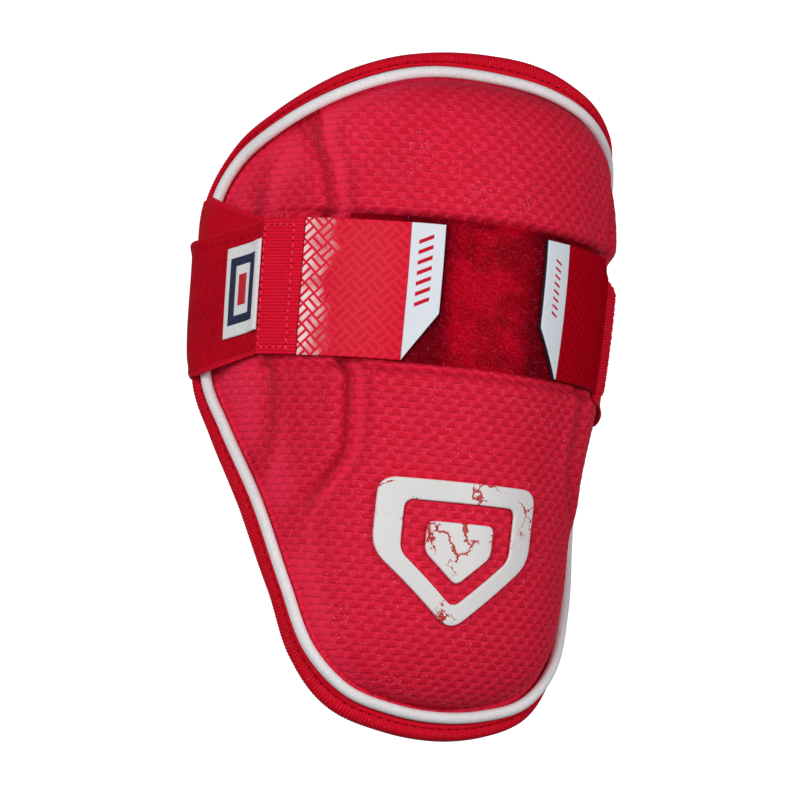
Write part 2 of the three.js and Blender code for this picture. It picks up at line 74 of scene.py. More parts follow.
# Crown along the middle of the face: y, z.
CROWN = np.array([
    (101.3, 54), (100.2, 61), (96.5, 68.5), (88, 74.5), (70, 78.5), (46, 80), (20, 79), (-10, 75.5),
    (-40, 72.5), (-66, 70), (-82, 67), (-92, 63), (-98, 58.5), (-100.3, 53.5),
], float)
# Flex folds: y, distance from the middle and depth of the inner fold, the same for the outer fold.
FOLDS = np.array([
    (-104, 30, 0, 40, 0), (-62, 46, 0, 50, 0), (-46, 48, 2.2, 55, 0), (-38, 46, 4.4, 55.5, 0),
    (-32, 43, 5.6, 56, 0.8), (-20, 38.8, 6.4, 56, 4), (4, 40.6, 6.6, 58.2, 5.5), (30, 45, 3, 61, 2),
    (57, 49, 6.6, 64, 5), (68, 50.5, 6.2, 63, 1.6), (78, 53, 5.4, 57, 0), (86, 52, 3.4, 53, 0),
    (92, 46, 0, 48, 0), (104, 30, 0, 40, 0),
], float)


def unit(v):
    return v / np.linalg.norm(v, axis=-1, keepdims=True)


def run_along(points, axis=0):
    """Distance along lines of points, nought at their start."""
    step = np.linalg.norm(np.diff(points, axis=axis), axis=-1)
    return np.concatenate([0 * step.take([0], axis), np.cumsum(step, axis=axis)], axis=axis)


def spline(points, closed=False):
    """Smooth line through points, read by station number: gives places and tangents."""
    line = np.asarray(points, float)
    spans = len(line) if closed else len(line) - 1
    if closed:
        line = np.concatenate([line[-1:], line, line[:2]])
    else:
        line = np.concatenate([2 * line[:1] - line[1:2], line, 2 * line[-1:] - line[-2:-1]])
    gaps = np.linalg.norm(np.diff(line, axis=0), axis=1) ** 0.5

    def read(station):
        station = np.asarray(station, float)
        if closed:
            station = station % spans
        i = np.clip(np.floor(station).astype(int), 0, spans - 1)
        w = (station - i)[..., None]
        p0, p1, p2, p3 = (line[i + k] for k in range(4))
        d0, d1, d2 = (gaps[i + k][..., None] for k in range(3))
        m1 = ((p1 - p0) / d0 - (p2 - p0) / (d0 + d1) + (p2 - p1) / d1) * d1
        m2 = ((p2 - p1) / d1 - (p3 - p1) / (d1 + d2) + (p3 - p2) / d2) * d1
        c2 = 3 * (p2 - p1) - 2 * m1 - m2
        c3 = 2 * (p1 - p2) + m1 + m2
        return p1 + w * (m1 + w * (c2 + w * c3)), m1 + w * (2 * c2 + 3 * w * c3)

    return read


def eased(places, values):
    """Smooth reading of values set at rising places, with no overshoot."""
    step, rate = np.diff(places), np.diff(values) / np.diff(places)
    lean = np.zeros(len(values))
    same = rate[:-1] * rate[1:] > 0
    lean[1:-1][same] = 2 * (rate[:-1] * rate[1:])[same] / (rate[:-1] + rate[1:])[same]

    def read(x):
        x = np.clip(x, places[0], places[-1])
        k = np.clip(np.searchsorted(places, x) - 1, 0, len(step) - 1)
        t = (x - places[k]) / step[k]
        ends = values[k] * (1 + 2 * t) * (1 - t) ** 2 + values[k + 1] * t * t * (3 - 2 * t)
        return ends + step[k] * (lean[k] * t * (1 - t) ** 2 + lean[k + 1] * t * t * (t - 1))

    return read


def smooth(t):
    t = np.clip(t, 0, 1)
    return t * t * (3 - 2 * t)


def hump(off, middle, wide):
    return np.exp(-(((off - middle) / wide) ** 2))


LAST = len(RIM) - 1
rim_line = spline(np.concatenate([RIM[:, :3], RIM[LAST - 1:0:-1, :3] * (-1, 1, 1)]), closed=True)
rim_slope = eased(np.arange(LAST + 1.0), RIM[:, 3])


def rim_point(u, outward, off):
    """Place beside the piping's middle: outward along the flange, off its face."""
    u = np.asarray(u, float)
    p, along = rim_line(u)
    along = unit(along)
    half = np.minimum(u % (2 * LAST), 2 * LAST - u % (2 * LAST))
    slope = np.radians(rim_slope(half))[..., None]
    plan = unit(np.stack([along[..., 1], -along[..., 0], np.zeros_like(u)], -1))
    plan *= np.where((plan * p)[..., :2].sum(-1) < 0, -1, 1)[..., None]
    out = plan * np.cos(slope) - np.sin(slope) * np.array([0, 0, 1])
    out = unit(out - along * (out * along).sum(-1, keepdims=True))
    face = np.cross(along, out)
    face *= np.where(face[..., 2] < 0, -1, 1)[..., None]
    place = p + out * np.asarray(outward)[..., None] + face * np.asarray(off)[..., None]
    place[..., 0] = np.where(half % LAST == 0, 0, place[..., 0])
    return place


def foot(u):
    return rim_point(u, -FOOT_INSET, -FLANGE["drop"])


fine_u = np.linspace(LAST, 0, 6001)
fine_foot = foot(fine_u)
crown_line = spline(CROWN)(np.linspace(len(CROWN) - 1, 0, 4001))[0]
fold_at = [eased(FOLDS[:, 0], FOLDS[:, k]) for k in range(1, 5)]


def crown_at(y):
    return np.interp(y, crown_line[:, 0], crown_line[:, 1])


def dome(s, power=DOME_POWER):
    return np.maximum(0, 1 - np.abs(s) ** power) ** (1 / power)


def channel_depth(y, s):
    low, high = (smooth(v / CHANNEL["wall"]) for v in (y - CHANNEL["low"], CHANNEL["high"] - y))
    return CHANNEL["depth"] * low * high * (1 + CHANNEL["wing"] * s * s) * dome(s) ** CHANNEL["fade"]


def fold_lines(x, y, part):
    """For the inner and the outer fold, with part of their full depth: distance outward from the fold's
    line, its depth, and how much it puffs."""
    inner, inner_deep, outer, outer_deep = (read(y) for read in fold_at)
    for middle, deep, share in ((inner, inner_deep, 1.0), (outer, outer_deep, 0.5)):
        yield np.abs(x) - middle, deep * part, share * np.maximum(0, deep - FOLD["plain"])


def fold_depth(x, y, part):
    """Depth of the folds: a steep wall under the ridge towards the middle, a slope to the puffed wing outside."""
    depth = 0
    for off, deep, swell in fold_lines(x, y, part):
        depth = depth + deep * hump(off, 0, np.where(off < 0, FOLD["wall"], FOLD["slope"]))
        for form, way in (("ridge", -1), ("puff", 1)):
            depth = depth - swell * FOLD[form] * hump(off, way * FOLD[form + "_off"], FOLD[form + "_wide"])
    return depth


def knit_slack(x, y, s, part):
    """How loose the knit lies: 1 on the crown, near 0 out on the wings, above 1 where it gathers on the outer slope of
    a fold, below 0 where it is drawn tight over the ridge. The finish darkens the gathered knit as painted shade and
    lightens the drawn knit, partly as a painted highlight."""
    loose = 1 - WING["drop"] * smooth((np.abs(s) - WING["start"]) / WING["run"])
    if part == 1:
        upper = smooth((y - UPPER_LEFT["y"]) / UPPER_LEFT["y_run"])
        loose = loose * (1 - UPPER_LEFT["drop"] * upper * smooth((np.abs(s) - UPPER_LEFT["start"]) / UPPER_LEFT["run"]))
    for (off, deep, _), slope, tight in zip(fold_lines(x, y, part), GATHER["slope"], GATHER["tight"]):
        share = np.minimum(deep / GATHER["full"], 1)
        gathered_shade = share * hump(off, GATHER["at"], np.where(off < GATHER["at"], GATHER["wall"], slope))
        drawn = tight * share * hump(off, GATHER["ridge"], GATHER["ridge_wide"])
        loose = loose * (1 - gathered_shade) * (1 - drawn) + 2 * gathered_shade - drawn
    return loose


def face_height(x, y):
    """Height of the smooth face, without its folds, over a place in plan."""
    foot_x, foot_z = (np.interp(y, fine_foot[:, 1], fine_foot[:, k]) for k in (0, 2))
    s = np.clip(x / np.maximum(foot_x, 1e-6), -1, 1)
    return foot_z + np.maximum(0, crown_at(y) - foot_z) * dome(s) - channel_depth(y, s)


def rim_rows(y_step, rim_step):
    """Stations from tip to tip that are close enough both along Y and along the rim."""
    d = np.diff(fine_foot[::-1], axis=0)
    count = np.r_[0, np.cumsum(np.maximum(np.abs(d[:, 1]) / y_step, np.linalg.norm(d, axis=1) / rim_step))]
    return np.interp(np.linspace(0, count[-1], int(count[-1]) + 2), count, fine_u[::-1])


def back_half(u, depth, fractions):
    """Half of each row of the hollow side, middle to flange edge, at a depth behind the flange."""
    under = -FLANGE["drop"] - FLANGE["thick"] - depth
    edge = rim_point(u, -HOLLOW_INSET, under)
    front = foot(u)
    top = np.maximum(crown_at(front[:, 1]), front[:, 2])
    rise = np.maximum(0, top - FOAM_THICK - HOLLOW_SINK * depth - edge[:, 2])
    rise[[0, -1]] = 0
    half = np.repeat(edge[:, None], len(fractions), axis=1)
    half[..., 0] *= fractions
    half[..., 2] += rise[:, None] * dome(fractions, HOLLOW_POWER)
    return np.concatenate([half, rim_point(u, FLANGE["reach"], under)[:, None]], axis=1)


def both_sides(left, right):
    """Whole rows, left to right, from rows that run out from the middle on the right-hand side."""
    return np.concatenate([left[:, :0:-1] * (-1, 1, 1), right], axis=1)


def placed(name, data):
    piece = bpy.data.objects.new(name, data)
    bpy.context.scene.collection.objects.link(piece)
    return piece


def cloth_mesh(name, points, place, ring=False, tube=False):
    """Mesh from a grid of points (mm), with each corner's place on the cloth kept as lay (mm). ring joins the
    last row to the first and tube the last column to the first; place has that row or column too."""
    rows, columns = points.shape[:2]
    number = np.arange(rows * columns).reshape(rows, columns)
    number = np.concatenate([number, number[:1]]) if ring else number
    number = np.concatenate([number, number[:, :1]], axis=1) if tube else number

    def corners(grid):
        return np.stack([grid[:-1, :-1], grid[1:, :-1], grid[1:, 1:], grid[:-1, 1:]], 2)

    loose = points.reshape(-1, 3)
    spot = np.round(loose * WELD).astype(np.int64)
    _, first, same = np.unique(spot, axis=0, return_index=True, return_inverse=True)
    quads, spots = same.reshape(-1)[corners(number).reshape(-1, 4)], corners(place).reshape(-1, 4, 3)
    solid = loose[first]
    a, b, c, d = (solid[quads[:, k]] for k in range(4))
    if ((a * np.cross(b, c)).sum() + (a * np.cross(c, d)).sum()) < 0:
        quads, spots = quads[:, ::-1], spots[:, ::-1]
    kept = quads != np.roll(quads, 1, axis=1)
    whole = kept.sum(1) > 2
    faces = [q[k].tolist() for q, k in zip(quads[whole], kept[whole])]
    mesh = bpy.data.meshes.new(name)
    mesh.from_pydata(((solid + ORIGIN) * MM).tolist(), [], faces)
    lay = mesh.attributes.new("lay", "FLOAT_VECTOR", "CORNER")
    lay.data.foreach_set("vector", spots[kept & whole[:, None]].astype(np.float32).ravel())
    mesh.shade_smooth()
    return placed(name, mesh)


class Wire:
    """A node's output that is reckoned with like a number: each sum adds a math node to its tree."""

    def __init__(self, socket):
        self.socket, self.tree = socket, socket.id_data

    def __add__(self, other):
        return calc("ADD", self, other)

    def __sub__(self, other):
        return calc("SUBTRACT", self, other)

    def __rsub__(self, other):
        return calc("SUBTRACT", other, self)

    def __mul__(self, other):
        return calc("MULTIPLY", self, other)

    def __truediv__(self, other):
        return calc("DIVIDE", self, other)

    def __rtruediv__(self, other):
        return calc("DIVIDE", other, self)


class Made:
    """A new node, whose outputs are read as wires by name or number."""

    def __init__(self, node):
        self.node = node

    def __getitem__(self, key):
        return Wire(self.node.outputs[key])


def put(tree, kind, links=(), **settings):
    """Adds a node: settings are its properties, links its inputs, each a value or a wire."""
    node = tree.nodes.new(kind)
    for key, value in settings.items():
        setattr(node, key, value)
    for key, value in dict(links).items():
        if isinstance(value, Wire):
            tree.links.new(value.socket, node.inputs[key])
        else:
            node.inputs[key].default_value = value
    return Made(node)


def calc(operation, *terms):
    tree = next(term.tree for term in terms if isinstance(term, Wire))
    return put(tree, "ShaderNodeMath", enumerate(terms), operation=operation)[0]


def wave(run, pitch):
    return calc("SINE", run * (2 * math.pi / pitch))


def ranged(value, low, high, to_low=0.0, to_high=1.0, way="LINEAR"):
    links = {"Value": value, "From Min": low, "From Max": high, "To Min": to_low, "To Max": to_high}
    return put(value.tree, "ShaderNodeMapRange", links, interpolation_type=way)[0]


def step_up(value, low, high):
    """0 below low, 1 above high, eased between them."""
    return ranged(value, low, high, way="SMOOTHSTEP")


def noise(place, scale, detail, rough=0.5, out="Fac"):
    links = {"Vector": place, "Scale": scale, "Detail": detail, "Roughness": rough}
    return put(place.tree, "ShaderNodeTexNoise", links)[out]


def scaled(vector, by):
    return put(vector.tree, "ShaderNodeVectorMath", {0: vector, 3: by}, operation="SCALE")[0]


def linear(red, green, blue):
    """Colour as seen on a screen, 0 to 255, made linear."""
    parts = [c / 255 for c in (red, green, blue)]
    return (*(c / 12.92 if c < 0.04045 else ((c + 0.055) / 1.055) ** 2.4 for c in parts), 1)


def mix(share, *ends):
    """Colour between two ends, each a wire or a colour as seen on a screen."""
    first, second = (end if isinstance(end, Wire) else linear(*end) for end in ends)
    return put(share.tree, "ShaderNodeMix", {0: share, 6: first, 7: second}, data_type="RGBA")[2]


def new_group(name, kind, inputs, outputs):
    """Empty node group with named sockets; gives the tree and its inner input node."""
    tree = bpy.data.node_groups.new(name, kind)
    for way, sockets in (("INPUT", inputs), ("OUTPUT", outputs)):
        for label, socket in sockets.items():
            tree.interface.new_socket(label, in_out=way, socket_type="NodeSocket" + socket)
    return tree, put(tree, "NodeGroupInput")


def new_finish(name, rough, specular):
    finish = bpy.data.materials.new(name)
    finish.use_nodes = True
    shader = finish.node_tree.nodes["Principled BSDF"]
    shader.inputs["Roughness"].default_value = rough
    shader.inputs["Specular IOR Level"].default_value = specular
    return finish


def surface(finish, tint, height=None, depth=0.0002, strength=1.0, rough=None):
    """Joins a colour, a relief height and a roughness that change over the surface to the finish's shader."""
    tree = finish.node_tree
    joined = {"Base Color": tint, "Roughness": rough}
    if height is not None:
        bump = put(tree, "ShaderNodeBump", {"Height": height, "Distance": depth, "Strength": strength})
        joined["Normal"] = bump["Normal"]
    for key, wire in joined.items():
        if wire is not None:
            tree.links.new(wire.socket, tree.nodes["Principled BSDF"].inputs[key])
    return finish


def lay_of(finish):
    """The piece's lay and its three parts."""
    lay = put(finish.node_tree, "ShaderNodeAttribute", attribute_name="lay")["Vector"]
    return lay, *put(lay.tree, "ShaderNodeSeparateXYZ", {0: lay})


def place_of(finish):
    return put(finish.node_tree, "ShaderNodeTexCoord")["Object"]


def shape_tree(name, *values):
    """New geometry tree with named values besides its geometry and finish; gives the tree and its inputs."""
    kinds = {value: "Int" if value == "Seed" else "Float" for value in values}
    inputs = {"Geometry": "Geometry", **kinds, "Finish": "Material"}
    return new_group(name, "GeometryNodeTree", inputs, {"Geometry": "Geometry"})


def shape_lay(tree):
    lay = put(tree, "GeometryNodeInputNamedAttribute", {"Name": "lay"}, data_type="FLOAT_VECTOR")[0]
    return put(tree, "ShaderNodeSeparateXYZ", {0: lay})


def raised(given, lift):
    """The geometry given, moved off its surface."""
    move = scaled(put(lift.tree, "GeometryNodeInputNormal")[0], lift)
    return put(lift.tree, "GeometryNodeSetPosition", {"Geometry": given["Geometry"], "Offset": move})[0]


def in_finish(shape, given):
    """Ends a geometry tree with the finish given."""
    links = {"Geometry": shape, "Material": given["Finish"]}
    put(shape.tree, "NodeGroupOutput", {0: put(shape.tree, "GeometryNodeSetMaterial", links)[0]})
    return shape.tree


def realized(shape):
    return put(shape.tree, "GeometryNodeRealizeInstances", {0: shape})[0]


def with_nodes(piece, tree, **values):
    """Runs a geometry tree on a piece with the values named, and keeps the result as its plain mesh."""
    run = piece.modifiers.new(tree.name, "NODES")
    run.node_group = tree
    for socket in tree.interface.items_tree:
        if socket.in_out == "INPUT" and socket.name in values:
            run[socket.identifier] = values[socket.name]
    made = bpy.data.meshes.new_from_object(piece.evaluated_get(bpy.context.evaluated_depsgraph_get()))
    piece.modifiers.clear()
    piece.data = made
    return piece


def dress(piece, slot, *nodes, finish=None):
    if finish:
        piece.data.materials.append(finish)
    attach(piece, "root")
    if nodes:
        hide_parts(*nodes)
    return piece


def drift_group():
    """Slow change of tone over a surface, such as dye, handling and press marks leave."""
    inputs = {"Colour": "Color", "Place": "Vector", "Size": "Float", "Depth": "Float"}
    tree, given = new_group("tone_drift", "ShaderNodeTree", inputs, {"Colour": "Color"})
    tone = (noise(given["Place"], 1.0 / given["Size"], 3.0) - 0.5) * given["Depth"]
    toned = put(tree, "ShaderNodeHueSaturation", {"Color": given["Colour"], "Value": tone * 4.0 + 1.0})[0]
    put(tree, "NodeGroupOutput", {0: toned})
    return tree


def specks_group():
    """Scattered specks: a share of small cells gets a mask of 1, which the knit, tapes and elastic use for painted
    glints; Grain is each cell's random value.
    """
    inputs, outputs = {"Place": "Vector", "Size": "Float", "Share": "Float"}, {"Mask": "Float", "Grain": "Float"}
    tree, given = new_group("glint_and_grain_specks", "ShaderNodeTree", inputs, outputs)
    cell = scaled(given["Place"], 1.0 / given["Size"])
    whole = put(tree, "ShaderNodeVectorMath", {0: cell}, operation="FLOOR")[0]
    chance = put(tree, "ShaderNodeTexWhiteNoise", {"Vector": whole})["Value"]
    put(tree, "NodeGroupOutput", {0: calc("LESS_THAN", chance, given["Share"]), 1: chance})
    return tree


tone_drift = drift_group()
glint_and_grain_specks = specks_group()


def drifting(tint, place, size, depth):
    links = {"Colour": tint, "Place": place, "Size": size, "Depth": depth}
    return put(place.tree, "ShaderNodeGroup", links, node_tree=tone_drift)[0]


def specks(place, size, share):
    links = {"Place": place, "Size": size, "Share": share}
    return put(place.tree, "ShaderNodeGroup", links, node_tree=glint_and_grain_specks)


def knit_tree():
    """Raises every second cell of the knit off the foam and sinks the others, less where it is stretched."""
    tree, given = shape_tree("knit_relief", "Cell wide", "Cell high", "Relief")
    across, along, slack = shape_lay(tree)
    waves = [calc("SINE", run / given[cell] * math.pi) for run, cell in ((across, "Cell wide"), (along, "Cell high"))]
    loose = calc("MAXIMUM", calc("MINIMUM", slack, 2.0 - slack), 0.0)
    return in_finish(realized(raised(given, waves[0] * waves[1] * (loose * given["Relief"]))), given)


def knit_finish():
    """Rows of rounded scales, set off by half in every second row, with a shadow under each one."""
    finish = new_finish("red_knit", 0.7, 0.12)
    lay, across, along, laid = lay_of(finish)
    slack, gathered_shade, drawn = (step_up(laid, *ends) for ends in ((0.0, 1.0), (0.9, 2.0), (0.1, -1.0)))
    slack = slack * (1 - gathered_shade * 0.7)
    sway = (noise(lay, 0.45, 2.0) - 0.5) * 0.5
    fuzz, lint = noise(lay, 1.3, 4.0, 0.65), noise(lay, 2.6, 3.0, 0.7)
    high = along / KNIT["cell_high"] + sway
    wide = across / (2 * KNIT["cell_wide"]) + sway * 0.5
    set_off = calc("FLOORED_MODULO", calc("FLOOR", high), 2.0) * 0.5
    side = calc("ABSOLUTE", calc("FRACT", wide + set_off) - 0.5) * 2.0 + (lint - 0.5) * 0.9
    rise = calc("FRACT", high)
    rounding = calc("POWER", calc("MAXIMUM", side, 0.0), 2.0) * 0.35
    under_top = 1 - step_up(rise + rounding + (fuzz - 0.5) * 0.7, 0.65, 1.1)
    scale = (1 - step_up(side, 0.35, 0.95)) * under_top * slack
    dash = 1 - step_up(side, 0.55, 0.95) * (slack + 0.3)
    shadow = (1 - step_up(rise + rounding * -0.5, 0.06, 0.3)) * dash
    rib = step_up(wave(wide, 1 / 8), 0.1, 1.0) * scale
    tint = mix(slack, (254, 44, 84), (224, 27, 62))
    tint = mix(scale, tint, (212, 16, 46))
    # painted shade: the fold's valley is darkened where the knit gathers
    tint = mix(gathered_shade * 0.72, tint, (148, 2, 24))
    # lighter where the knit is drawn tight over the ridge, partly a painted highlight on the fold's wall
    tint = mix(drawn * 0.7, tint, (246, 38, 74))
    tint = mix(shadow * step_up(fuzz, 0.38, 0.62) * 0.7, tint, (150, 0, 22))
    tint = mix(rib * 0.42, tint, (158, 0, 22))
    tint = drifting(tint, lay, 14.0, 0.045)
    # painted glints: bright specks gathered in clusters
    share = ranged(noise(lay, 0.055, 2.0), 0.53, 0.75, 0.002, 0.035)
    tint = mix(specks(lay, 0.32, share)["Mask"] * 0.4, tint, (255, 150, 175))
    pale = step_up(lint * 0.6 + fuzz * 0.4, 0.48, 0.68) * (0.62 - scale * 0.4)
    tint = mix(pale, tint, (246, 66, 100))
    return surface(finish, tint, scale * 0.5 - shadow * 0.8 + fuzz * 1.2, 0.00016, 0.8)


def padded_shell():
    u = rim_rows(KNIT["row_step"], KNIT["rim_step"])
    front = foot(u)
    rise = np.maximum(0, crown_at(front[:, 1]) - front[:, 2])
    rise[[0, -1]] = 0
    turn = np.linspace(0, math.pi / 2, KNIT["across"] // 2 + 1)
    s, share = np.sin(turn) ** (2 / DOME_POWER), np.maximum(np.cos(turn), 0) ** (2 / DOME_POWER)
    share[-1] = 0
    y = front[:, 1][:, None]
    x = front[:, 0][:, None] * s
    z = front[:, 2][:, None] + rise[:, None] * share - channel_depth(y, s)
    flange = [rim_point(u, n, -FLANGE["drop"])[:, None] for n in (*FLANGE["rows"], FLANGE["reach"])]
    along = np.interp(front[:, 1], crown_line[:, 0], run_along(crown_line))
    halves, lays = [], []
    for part in (1, FOLD["right"]):
        folded = z - fold_depth(x, y, part) * share ** FOLD["fade"]
        half = np.concatenate([np.stack([x, np.broadcast_to(y, x.shape), folded], -1), *flange], axis=1)
        run = run_along(half, 1)
        slack = np.pad(knit_slack(x, y, s, part), ((0, 0), (0, len(flange))), mode="edge")
        halves.append(half)
        lays.append(np.stack([run, np.broadcast_to(along[:, None], run.shape), slack], -1))
    hollow = back_half(u, 0, np.linspace(0, 1, 9))
    back = both_sides(hollow, hollow)[:, ::-1]
    hidden = np.zeros((len(u), back.shape[1] + 1, 3))
    hidden[..., 1] = along[:, None]
    points = np.concatenate([both_sides(*halves), back], axis=1)
    piece = cloth_mesh("knit_shell", points, np.concatenate([both_sides(*lays), hidden], axis=1), tube=True)
    values = {"Cell wide": KNIT["cell_wide"], "Cell high": KNIT["cell_high"], "Relief": KNIT["relief"] * MM}
    return with_nodes(piece, knit_tree(), **values, Finish=knit_finish())


knit_shell = dress(padded_shell(), "knit", "pad_shell")


# Lining. Dark brushed cloth laminated over the hollow back of the foam, cut with the shell round its edge.
# It is one formed sheet that follows the hollow and ends inside the binding.
LINING = dict(gap=0.3, thick=1.2, row_step=2.2, rim_step=3.0, across=30)


def lining_finish():
    finish = new_finish("dark_lining", 0.85, 0.15)
    lay, across, along, _ = lay_of(finish)
    mesh_hole = step_up(wave(across, 1.1) * wave(along, 1.1), 0.1, 0.8)
    tint = drifting(mix(mesh_hole, (38, 40, 52), (18, 19, 27)), lay, 25.0, 0.1)
    return surface(finish, tint, 1.0 - mesh_hole, 0.0002, 0.7)


def hollow_lining():
    u = rim_rows(LINING["row_step"], LINING["rim_step"])
    fractions = np.linspace(0, 1, LINING["across"] + 1) ** 0.9
    halves = [back_half(u, depth, fractions) for depth in (LINING["gap"], LINING["gap"] + LINING["thick"])]
    upper, lower = (both_sides(half, half) for half in halves)
    across = run_along(lower, 1)
    across = across - across[:, -1:] / 2
    along = np.broadcast_to(foot(u)[:, 1][:, None], across.shape)
    lay = np.stack([across, along, np.zeros_like(across)], -1)
    points = np.concatenate([upper, lower[:, ::-1]], axis=1)
    return cloth_mesh("hollow_lining", points, np.concatenate([lay, lay[:, ::-1], lay[:, :1]], axis=1), tube=True)


lining = dress(hollow_lining(), "lining_cloth", "lining", finish=lining_finish())


# Piping. White coated cord sewn round the foot of the padding, between the shell's flange and the binding.
# It follows the rim as one closed ring.
PIPING = dict(radius=1.82, step=0.9, sides=18)


def rim_ring(name, profile, step, reach=None, weights=0.0):
    """Closed ring swept round the rim from a closed profile of outward and off places; gives its length too.
    reach gives how far a place is drawn out at each station, and weights go into the lay's third part."""
    fine = np.linspace(0, 2 * LAST, 12001)
    run = run_along(rim_line(fine)[0])
    count = int(run[-1] / step / 2) * 2
    u = np.interp(np.linspace(0, run[-1], count + 1), run, fine)[:-1]
    points = np.stack([rim_point(u, n + (reach(u, n) if reach else 0), off) for n, off in profile], axis=1)
    lay = np.zeros((count + 1, len(profile) + 1, 3))
    lay[..., 0] = np.linspace(0, run[-1], count + 1)[:, None]
    lay[..., 1] = run_along(np.r_[profile, profile[:1]])
    lay[..., 2] = weights
    return cloth_mesh(name, points, lay, ring=True, tube=True), run[-1]


def piping_finish():
    finish = new_finish("white_piping", 0.6, 0.25)
    lay, along, around, _ = lay_of(finish)
    grain = specks(lay, 0.3, 0.1)
    tint = mix(grain["Grain"], (218, 215, 218), (242, 240, 242))
    tint = drifting(mix(grain["Mask"] * 0.5, tint, (250, 250, 250)), lay, 14.0, 0.03)
    return surface(finish, tint, wave(along + around, 0.9) * 0.3 + grain["Grain"], 0.00008, 0.6)


angles = np.linspace(0, 2 * math.pi, PIPING["sides"], endpoint=False)
cord_profile = PIPING["radius"] * np.stack([np.cos(angles), np.sin(angles)], -1)
piping, _ = rim_ring("rim_piping", cord_profile, PIPING["step"])
dress(piping, "piping_cord", "piping", finish=piping_finish())


# Binding. Red grosgrain tape, ribbed across, folded over the edges of shell and lining and sewn down
# close to the piping, so that it puckers into a soft roll along a furrow of stitches.
BINDING = dict(thick=0.8, rib=1.0, rib_height=0.16, step=0.25, shown=24, roll_from=2.2, roll_wide=4.8)
SEAM = dict(at=3.6, pitch=3.1, points=1201, low_rib=0.4, fade=0.8)
# Section of the tape from the piping out and round under the edge: outward, off the flange.
TAPE_LINE = [
    (2.2, -1.5), (2.55, -1.2), (2.95, -1.15), (3.3, -1.5), (3.6, -1.95), (3.95, -1.5), (4.6, -1.0),
    (5.5, -0.8), (6.3, -1.2), (6.85, -2.2), (7.0, -3.6), (6.7, -5.3), (5.6, -6.5), (1.0, -6.6),
]
# How far the tape's roll is drawn out or in: rim station from the wide tip (minus is left), distance.
TAPE_DRAWN = np.array([
    (-15, 0), (-14, 0.3), (-12.6, 1.4), (-11.3, 0.7), (-10, 1.2), (-8.5, 0.5), (-6.5, -1.2), (-5, -1.9),
    (-3.5, -1.7), (-2.5, -1.1), (-1.2, -1.0), (0, 0.4), (0.6, 0.9), (1.8, 0), (4, 0.2), (6, 0.4), (15, 0),
], float)
tape_drawn = eased(TAPE_DRAWN[:, 0], TAPE_DRAWN[:, 1])


def tape_reach(u, outward):
    share = np.clip((outward - BINDING["roll_from"]) / BINDING["roll_wide"], 0, 1)
    return tape_drawn(np.where(u > LAST, u - 2 * LAST, u)) * share


def rib_tree():
    """Raises ribs over a tape, along its run (Across 0) or over its width (Across 1), by the lay's weight."""
    tree, given = shape_tree("rib_tape", "Pitch", "Height", "Across")
    along, across, weight = shape_lay(tree)
    run = put(tree, "ShaderNodeMix", {0: given["Across"], 2: along, 3: across})[0]
    crest = calc("ABSOLUTE", calc("SINE", run / given["Pitch"] * math.pi))
    lift = (crest - 0.6) * (given["Height"] * calc("MAXIMUM", weight, 0.0))
    return in_finish(realized(raised(given, lift)), given)


def tape_finish(name, low, high, axis, pitch):
    """Ribbed tape: painted shade between the ribs, with fine threads along each rib."""
    finish = new_finish(name, 0.65, 0.08)
    lay, *runs, weight = lay_of(finish)
    crest = calc("ABSOLUTE", calc("SINE", runs[axis] * (math.pi / pitch)))
    # painted shade in the grooves between the ribs
    groove_shade = (1.0 - step_up(crest, 0.05, 0.7)) * calc("MAXIMUM", weight, 0.0)
    tint = drifting(mix(groove_shade, high, low), lay, 9.0, 0.06)
    shine = specks(lay, 0.3, 0.012)
    tint = mix(shine["Mask"] * 0.3, tint, (245, 110, 130))
    return surface(finish, tint, wave(runs[1 - axis], 0.45) * 0.25 + shine["Grain"] * 0.5, 0.00008, 0.8)


def offset_profile(line, thick, count):
    """Closed profile of a tape of that thickness about a line, coarser on its hidden side."""
    p, d = spline(line)(np.linspace(0, len(line) - 1, count))
    side = unit(np.stack([-d[:, 1], d[:, 0]], -1)) * thick / 2
    return np.concatenate([p + side, (p - side)[::-2]])


rib_tape = rib_tree()
tape_profile = offset_profile(TAPE_LINE, BINDING["thick"], BINDING["shown"])
full_rib = smooth((tape_profile[:, 0] - SEAM["at"]) / SEAM["fade"])
tape_weights = np.r_[SEAM["low_rib"] + (1 - SEAM["low_rib"]) * full_rib, SEAM["low_rib"]]
tape_weights *= np.arange(len(tape_weights)) < BINDING["shown"]
binding, rim_length = rim_ring("edge_binding", tape_profile, BINDING["step"], tape_reach, tape_weights)
rib_pitch = rim_length / (2 * round(rim_length / BINDING["rib"] / 2))
with_nodes(
    binding, rib_tape, Pitch=rib_pitch, Height=BINDING["rib_height"] * MM, Across=0.0,
    Finish=tape_finish("red_binding", (162, 2, 24), (214, 10, 38), 0, rib_pitch),
)
dress(binding, "binding_tape", "binding")


def askew(turn, by, seed):
    """A turn, leaned at random by up to an angle."""
    links = {0: (-1, -1, -1), 1: (1, 1, 1), 8: seed}
    chance = put(turn.tree, "FunctionNodeRandomValue", links, data_type="FLOAT_VECTOR")[0]
    links = {"Rotation": turn, "Rotate By": scaled(chance, by)}
    return put(turn.tree, "FunctionNodeRotateRotation", links, rotation_space="LOCAL")[0]


def set_on(points, shape, turn, *size):
    """The shape set on points, turned, with its size in three ways."""
    size = put(shape.tree, "ShaderNodeCombineXYZ", enumerate(size))[0]
    links = {"Points": points, "Instance": shape, "Rotation": turn, "Scale": size}
    return put(shape.tree, "GeometryNodeInstanceOnPoints", links)[0]


